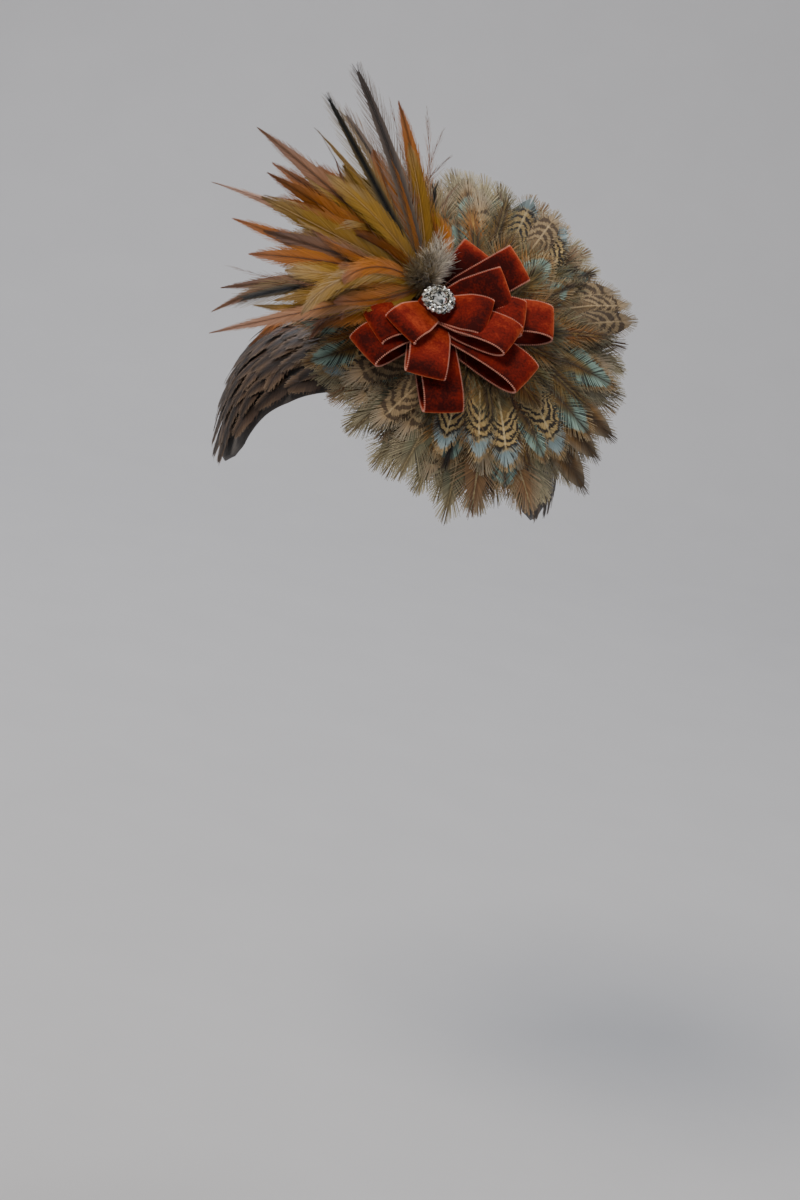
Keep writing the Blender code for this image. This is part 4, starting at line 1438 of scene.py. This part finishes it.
@dataclass
class RibbonRosette:
    """The rosette: one length of velvet ribbon in thirteen loops, stitched to a covered knot."""

    plane: PadPlane
    at: tuple[float, float] = (-21.0, 0.3)
    seat_height: float = 3.6
    width: float = 16.0
    thick: float = 0.9
    stations: int = 56
    root_share: float = 0.5
    knot_radius: float = 7.2
    knot_height: float = 15.2
    stitch_pitch: float = 0.85
    # Rings of one stitch: place across the ribbon's edge, and girth, in millimetres
    stitch_rings: tuple[tuple[float, float], ...] = ((-0.55, 0.08), (-0.3, 0.3), (0.15, 0.36), (0.55, 0.1))
    stitch_reach: float = 0.8
    stitch_proud: float = 0.1
    stitch_swell: tuple[float, float] = (1.35, 0.9)  # of the girth, off the ribbon and along it
    # Share of the knot's radius at each height
    knot_outline: tuple[tuple[float, float], ...] = (
        (0.97, 0.3), (1.0, 4.0), (1.04, 9.0), (1.05, 13.8), (0.92, 14.8), (0.6, 15.2), (0.1, 15.2),
    )
    knot_pleats: int = 6
    knot_pleat_depth: float = 0.03
    loops: tuple[tuple[float, ...], ...] = (
        (32, 12, 35, 5.0, 0, 3.0), (54, 13, 43, 5.5, -10, 5.8), (89, 12, 51, 6.0, 16, 3.2),
        (124, 14, 49, 5.5, 8, 6.0), (171, 12, 45, 5.5, 0, 3.6), (231, 12, 37, 5.5, -14, 5.4),
        (68, 22, 32, 4.0, -8, 9.0), (93, 20, 38, 4.0, 12, 8.2), (114, 24, 37, 4.0, 14, 10.0),
        (186, 22, 35, 4.0, 0, 8.2), (242, 16, 30, 4.0, -12, 8.2), (104, 30, 24, 3.0, 0, 11.6),
        (226, 28, 24, 3.0, -8, 11.0),
    )

    def build(self) -> None:
        """Build the loops, their edge stitches and the knot."""
        points, faces, stitches = [], [], StrandMesh()
        count, cut_length, cut_area = 0, 0.0, 0.0
        for row in self.loops:
            ring, edges = self.loop(row)
            steps = np.linalg.norm(np.diff(0.5 * (edges[0][0] + edges[1][0]), axis=0), axis=1)
            spans = np.linalg.norm(edges[1][0] - edges[0][0], axis=1)
            cut_length += float(steps.sum())
            cut_area += float((steps * 0.5 * (spans[1:] + spans[:-1])).sum())
            rings, sides = ring.shape[:2]
            points.append(ring.reshape(-1, 3))
            faces += ring_faces(rings, sides, count)
            count += rings * sides
            for line, out, flow in edges:
                self.stitch_edge(stitches, line, out, flow)
        velvet = VelvetFinish("rust_velvet").material()
        item = plain_mesh("rosette_ribbon", np.concatenate(points), faces, velvet)
        finish_piece(item, "velvet_ribbon", "ribbon_rosette")
        knot = plain_mesh("rosette_knot", *self.knot(0), velvet)
        finish_piece(knot, "velvet_ribbon", "ribbon_rosette")
        edging = stitches.build("rosette_edging", ThreadFinish("edging_yarn").material())
        finish_piece(edging, "velvet_ribbon")
        LOG.info("ribbon cut: %.0f by %.0f mm", self.width, cut_length)

    def loop(self, row: tuple[float, ...]) -> tuple[Array, list]:
        """Bend one loop of ribbon.

        Args:
            row: clock, lift, length, half depth, twist and root height.

        Returns:
            The rings of its surface, and for both edges the line, outward and along directions.
        """
        clock, lift, length, half_depth, twist, root_height = row
        right, up, normal = self.plane.axes()
        c, e, turn = (math.radians(v) for v in (clock, lift, twist))
        along = math.cos(e) * (math.sin(c) * right + math.cos(c) * up) + math.sin(e) * normal
        across = math.cos(c) * right - math.sin(c) * up
        facing = np.cross(across, along)
        across, facing = (
            math.cos(turn) * across + math.sin(turn) * facing,
            math.cos(turn) * facing - math.sin(turn) * across,
        )
        root = self.plane.at(np.array(self.at[0]), np.array(self.at[1]), np.array(self.seat_height + root_height))
        start = math.radians(24)
        swing = np.linspace(start, 2 * math.pi - start, self.stations)
        out = (1 - np.cos(swing)) / 2
        legs = 0.62 * self.thick * np.sign(np.round(np.sin(swing), 6)) * np.minimum(1, 8 * (1 - out))
        x = length * out
        y = half_depth * np.sin(swing) * out ** 0.8 + legs
        flow = unit(np.stack([np.gradient(x), np.gradient(y)], 1))
        half = 0.5 * self.width * (self.root_share + (1 - self.root_share) * np.minimum(1, x / (0.95 * self.width)) ** 0.7)
        outward = -flow[:, 1:] * along + flow[:, :1] * facing
        middle = root + x[:, None] * along + y[:, None] * facing
        profile = [(-1.0, 0.0), (-0.985, -0.36), (-0.93, -0.5), (-0.5, -0.5), (0.0, -0.5), (0.5, -0.5), (0.93, -0.5),
                   (0.985, -0.36), (1.0, 0.0), (0.985, 0.36), (0.93, 0.5), (0.5, 0.5), (0.0, 0.5), (-0.5, 0.5),
                   (-0.93, 0.5), (-0.985, 0.36)]
        crown = 0.35 * np.sin(swing / 2) ** 2
        rings = np.stack(
            [
                middle + (s * half)[:, None] * across + (level * self.thick + crown * (1 - s * s))[:, None] * outward
                for s, level in profile
            ],
            axis=1,
        )
        run = flow[:, :1] * along + flow[:, 1:] * facing
        edges = [(middle + (s * half)[:, None] * across, s * across, run) for s in (-1.0, 1.0)]
        return rings, edges

    def stitch_edge(self, mesh: StrandMesh, line: Array, out: Array, flow: Array) -> None:
        """Sew small satin stitches along one edge of the ribbon.

        Args:
            mesh: where they go.
            line: the edge's line.
            out: direction away from the ribbon.
            flow: direction along the edge at each point.
        """
        far = np.concatenate([[0], np.cumsum(np.linalg.norm(np.diff(line, axis=0), axis=1))])
        steps = np.arange(0, far[-1], self.stitch_pitch)
        spots = np.stack([np.interp(steps, far, line[:, k]) for k in range(3)], -1)
        run = unit(np.stack([np.interp(steps, far, flow[:, k]) for k in range(3)], -1))
        raise_ = np.cross(run, out)
        shares = np.array(self.stitch_rings)
        turns = np.radians(np.arange(0, 361, 60))
        high, wide = self.stitch_swell
        grid = np.zeros((len(steps), len(shares), len(turns), 3))
        for a, (place, girth) in enumerate(shares):
            for b, turn in enumerate(turns):
                offset = self.stitch_reach * place * out + girth * high * math.cos(turn) * raise_
                offset = offset + girth * wide * math.sin(turn) * run
                grid[:, a, b] = spots + self.stitch_proud * out + offset
        fields = {key: np.array(0.5) for key in StrandMesh.FIELDS}
        flat = np.stack(np.meshgrid(np.linspace(0, 1, len(shares)), np.linspace(0, 1, len(turns)), indexing="ij"), -1)
        mesh.add(grid, fields, np.broadcast_to(flat, grid.shape[:3] + (2,)))

    def knot(self, start: int) -> tuple[Array, list]:
        """The covered knot that the loops are stitched to.

        Args:
            start: number of its first point.

        Returns:
            Its points and faces.
        """
        right, up, normal = self.plane.axes()
        base = self.plane.at(np.array(self.at[0]), np.array(self.at[1]), np.array(self.seat_height))
        turns = np.radians(np.arange(0, 360, 15))
        rings = []
        for share, height in self.knot_outline:
            pleat = 1 + self.knot_pleat_depth * np.cos(self.knot_pleats * turns)
            spoke = np.cos(turns)[:, None] * right + np.sin(turns)[:, None] * up
            rings.append(base + (self.knot_radius * share * pleat)[:, None] * spoke + height * normal)
        return np.concatenate(rings), ring_faces(len(self.knot_outline), len(turns), start)


@dataclass
class RhinestoneButton:
    """The button: a plated cup with claws, two halos of small stones and one large cut stone."""

    plane: PadPlane
    rosette: RibbonRosette
    radius: float = 6.8
    plate: float = 1.4
    tilt: float = 14.0
    stem_radius: float = 2.2
    stem: float = 3.0
    gap: float = 0.3
    stone_radius: float = 3.7
    # Small stones of each halo: count, ring radius, height, stone radius and lean in radians
    halos: tuple[tuple[int, float, float, float, float], ...] = (
        (14, 5.25, 5.15, 1.12, 0.62), (18, 6.35, 4.35, 0.98, 1.15),
    )
    halo_facets: int = 6
    halo_crown: float = 0.62
    # Radius and height of the rings of a bead between two small stones, and of a claw on the large one
    bead: tuple[tuple[float, float], ...] = ((0.05, -0.1), (0.26, 0.0), (0.3, 0.2), (0.2, 0.4), (0.03, 0.46))
    claw: tuple[tuple[float, float], ...] = ((0.34, -1.0), (0.32, 0.2), (0.24, 0.75), (0.04, 0.95))
    claws: int = 8
    claw_at: tuple[float, float] = (3.85, 5.5)  # radius and height of a claw's foot
    claw_lean: float = 0.55
    stone_seat: float = 5.35
    stone_crown: float = 1.9
    stone_facets: int = 8
    stone_turn: float = 0.2
    cup_sides: int = 48
    seat_sides: int = 14
    bead_sides: int = 8

    def frame(self) -> tuple[Array, Array, Array, Array]:
        """Work out where the button stands.

        Returns:
            Its foot point, its axis and two side directions.
        """
        _, up, normal = self.plane.axes()
        turn = math.radians(self.tilt)
        axis = math.cos(turn) * normal + math.sin(turn) * up
        height = self.rosette.seat_height + self.rosette.knot_height + self.gap
        foot = self.plane.at(np.array(self.rosette.at[0]), np.array(self.rosette.at[1]), np.array(height))
        foot = foot + self.stem_radius * math.sin(turn) * axis
        side = unit(np.cross(axis, up))
        return foot, axis, side, np.cross(axis, side)

    def turned(
        self, outline: tuple[tuple[float, float], ...], sides: int, centre: Array, axis: Array
    ) -> tuple[Array, list]:
        """Points and faces of an outline turned round an axis.

        Args:
            outline: radius and height of each ring.
            sides: points in a ring.
            centre: foot of the axis.
            axis: its direction.

        Returns:
            Points and faces.
        """
        _, up, _ = self.plane.axes()
        side = unit(np.cross(axis, up))
        other = np.cross(axis, side)
        turns = 2 * math.pi * np.arange(sides) / sides
        rings = [
            centre + r * (np.cos(turns)[:, None] * side + np.sin(turns)[:, None] * other) + h * axis
            for r, h in outline
        ]
        return np.concatenate(rings), ring_faces(len(outline), sides)

    def cut_stone(
        self, centre: Array, axis: Array, radius: float, height: float, facets: int, turn: float
    ) -> tuple[Array, list]:
        """A faceted stone: table, star, bezel and girdle facets, with a pointed back.

        Args:
            centre: middle of its girdle.
            axis: the way its table faces.
            radius: its girdle's radius.
            height: of its crown.
            facets: how many main facets go round.
            turn: where the first one is, in radians.

        Returns:
            Points and faces.
        """
        _, up, _ = self.plane.axes()
        side = unit(np.cross(axis, up))
        other = np.cross(axis, side)

        def ring(r: float, h: float, half: float, count: int) -> Array:
            """Corners of one ring of facets."""
            a = turn + 2 * math.pi * (np.arange(count) + half) / count
            return centre + r * (np.cos(a)[:, None] * side + np.sin(a)[:, None] * other) + h * axis

        n = facets
        table, bezel = ring(0.56 * radius, height, 0.0, n), ring(0.8 * radius, 0.62 * height, 0.5, n)
        girdle, low = ring(radius, 0.12 * height, 0.0, 2 * n), ring(radius, 0.0, 0.0, 2 * n)
        tip = centre[None] - 0.75 * height * axis
        points = np.concatenate([table, bezel, girdle, low, tip])
        faces: list = [tuple(range(n))]
        for k in range(n):
            after = (k + 1) % n
            b, g = n + k, 2 * n + 2 * k
            g1, g2 = 2 * n + (2 * k + 1) % (2 * n), 2 * n + (2 * k + 2) % (2 * n)
            before = n + (k - 1) % n
            faces += [(k, b, after), (b, g, g1), (b, g1, g2), (k, before, g), (k, g, b)]
            for g0, gn in ((g, g1), (g1, g2)):
                faces += [(g0, g0 + 2 * n, gn + 2 * n, gn), (g0 + 2 * n, len(points) - 1, gn + 2 * n)]
        return points, faces

    def build(self) -> None:
        """Build the cup, its claws, the halo stones and the centre stone."""
        foot, axis, side, other = self.frame()
        top = self.stem + self.plate
        outline = (
            (self.stem_radius, 0.0), (self.stem_radius, self.stem - 0.3), (2.6, self.stem), (5.6, self.stem + 0.1),
            (6.7, 3.9), (self.radius, 4.3), (6.5, top), (5.6, 4.7), (4.9, 5.1), (4.4, 5.5), (4.0, 5.4), (3.8, 5.0), (1.0, 4.6),
        )
        cup = [self.turned(outline, self.cup_sides, foot, axis)]
        stones: list[tuple[Array, list]] = []
        for count, ring, height, size, spread in self.halos:
            for k in range(count):
                turn = 2 * math.pi * (k + 0.25 * (count % 4)) / count
                spoke = math.cos(turn) * side + math.sin(turn) * other
                out = math.cos(spread) * axis + math.sin(spread) * spoke
                centre = foot + ring * spoke + height * axis
                stones.append(self.cut_stone(centre + 0.1 * out, out, size, self.halo_crown, self.halo_facets, turn))
                seat = ((0.9 * size, -0.9), (size + 0.16, -0.1), (size + 0.14, 0.14), (size, 0.16))
                cup.append(self.turned(seat, self.seat_sides, centre, out))
                between = turn + math.pi / count
                spot = math.cos(between) * side + math.sin(between) * other
                spot = foot + (ring + 0.1) * spot + (height + 0.1) * axis
                cup.append(self.turned(self.bead, self.bead_sides, spot, out))
        reach, height = self.claw_at
        for k in range(self.claws):
            turn = 2 * math.pi * (k + 0.5) / self.claws
            spoke = math.cos(turn) * side + math.sin(turn) * other
            lean = unit(axis - self.claw_lean * spoke)
            cup.append(self.turned(self.claw, self.bead_sides, foot + reach * spoke + height * axis, lean))
        centre = foot + self.stone_seat * axis
        main = self.cut_stone(
            centre, axis, self.stone_radius, self.stone_crown, self.stone_facets, self.stone_turn
        )
        silver = SilverFinish("rhodium_plate").material()
        crystal = CrystalFinish("cut_crystal", 1.1).material()
        finish_piece(self.joined("button_setting", cup, silver, True), "silver_metal", "button_cup")
        finish_piece(self.joined("button_halo_stones", stones, crystal, False), "clear_stone")
        finish_piece(self.joined("button_centre_stone", [main], crystal, False), "clear_stone", "button_stone")

    def joined(
        self, name: str, parts: list[tuple[Array, list]], material: bpy.types.Material, smooth: bool
    ) -> bpy.types.Object:
        """Join small shapes into one piece.

        Args:
            name: the piece's name.
            parts: points and faces of each shape.
            material: its finish.
            smooth: shade it smooth.

        Returns:
            The object.
        """
        points, faces, count = [], [], 0
        for part, quads in parts:
            points.append(part)
            faces += [tuple(int(v) + count for v in f) for f in quads]
            count += len(part)
        return plain_mesh(name, np.concatenate(points), faces, material, smooth)


@dataclass(frozen=True)
class Studio:
    """Camera, lights, floor and backdrop. Places are row-frame millimetres."""

    camera_at: tuple[float, float, float] = (18.5, -1192.5, 221.5)
    right: tuple[float, float, float] = (0.9816, 0.0526, 0.1834)
    up: tuple[float, float, float] = (-0.1908, 0.2706, 0.9436)
    lens_mm: float = 85.0
    sensor_mm: float = 36.0
    floor_z: float = -420.0
    air: str = "d9dbe0"
    air_strength: float = 0.32
    # The paper sweep, in millimetres: half width, front edge, start of the curve, its radius and its top
    sweep: tuple[float, float, float, float, float] = (5000.0, -3500.0, 1200.0, 700.0, 4500.0)

    def build(self) -> None:
        """Set up the camera, the lights and the stage."""
        self.build_camera()
        self.build_lights()
        self.build_stage()

    def build_camera(self) -> None:
        """Set the camera at the photograph's angle."""
        data = bpy.data.cameras.new("camera")
        data.lens, data.sensor_width, data.sensor_fit = self.lens_mm, self.sensor_mm, "AUTO"
        data.clip_start, data.clip_end = 0.05, 20.0
        camera = bpy.data.objects.new("camera", data)
        right = unit(np.array(self.right))
        back = unit(np.cross(right, np.array(self.up)))
        up = np.cross(back, right)
        turn = Matrix([list(v) for v in zip(right, up, back)]).to_4x4()
        camera.matrix_world = Matrix.Translation([v * MM for v in self.camera_at]) @ turn
        bpy.context.scene.collection.objects.link(camera)
        bpy.context.scene.camera = camera

    def build_lights(self) -> None:
        """Hang large soft lights, and a pale world behind them."""
        rows = (
            ("key", (-0.8, -1.2, 1.7), 0.8, 34.0, "fff3e4"),
            ("fill", (1.4, -1.1, 0.5), 1.0, 6.0, "eef3ff"),
            ("top", (0.2, 0.5, 1.7), 0.9, 12.0, "ffffff"),
            ("back", (-0.6, 1.4, 0.9), 1.0, 8.0, "f4f6ff"),
        )
        for name, place, size, power, colour in rows:
            data = bpy.data.lights.new(name, "AREA")
            data.shape, data.size, data.energy = "DISK", size, power
            data.color = linear(colour)[:3]
            lamp = bpy.data.objects.new(name, data)
            spot = np.array(place)
            back = unit(spot)
            right = unit(np.cross([0, 0, 1.0], back))
            turn = Matrix([list(v) for v in zip(right, np.cross(back, right), back)]).to_4x4()
            lamp.matrix_world = Matrix.Translation(list(spot)) @ turn
            bpy.context.scene.collection.objects.link(lamp)
        world = bpy.data.worlds.new("studio_air")
        bpy.context.scene.world = world
        world.use_nodes = True
        ground = world.node_tree.nodes["Background"]
        ground.inputs["Color"].default_value = linear(self.air)
        ground.inputs["Strength"].default_value = self.air_strength

    def build_stage(self) -> None:
        """Lay a pale floor that sweeps up into a backdrop."""
        s = Wiring("pale_paper")
        material = s.finished({"Base Color": s.add("MixRGB", s.patches(60.0), "c9cacd", "cfd0d3"), "Roughness": 0.9})
        half, front, start, radius, top = self.sweep
        across = np.linspace(-half, half, 9)
        bend = [(front, 0.0), (start, 0.0)]
        for a in np.linspace(0.15, math.pi / 2, 12):
            bend.append((start + radius * math.sin(a), radius * (1 - math.cos(a))))
        bend.append((start + radius, top))
        points = [(x, y, self.floor_z + z) for y, z in bend for x in across]
        n = len(across)
        faces = [
            (r * n + k, r * n + k + 1, (r + 1) * n + k + 1, (r + 1) * n + k)
            for r in range(len(bend) - 1)
            for k in range(n - 1)
        ]
        plain_mesh("paper_sweep", np.array(points), faces, material)


def main() -> None:
    """Build the headband's sub-assemblies in order, from the head outwards."""
    logging.basicConfig(level=logging.INFO, format="%(name)s: %(message)s")
    for item in list(bpy.data.objects):
        bpy.data.objects.remove(item, do_unlink=True)
    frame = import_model()
    LOG.info("packed nodes: %d", len(frame["nodes"]))
    rng = np.random.default_rng(SEED)
    head = HeadForm()
    plane = PadPlane(head)
    Studio().build()
    FeatherBand(head).build(rng)
    FeatherPad(plane).build(rng)
    rosette = RibbonRosette(plane)
    rosette.build()
    HacklePlume(plane).build(rng)
    RhinestoneButton(plane, rosette).build()
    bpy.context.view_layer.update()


if __name__ == "__main__":
    main()
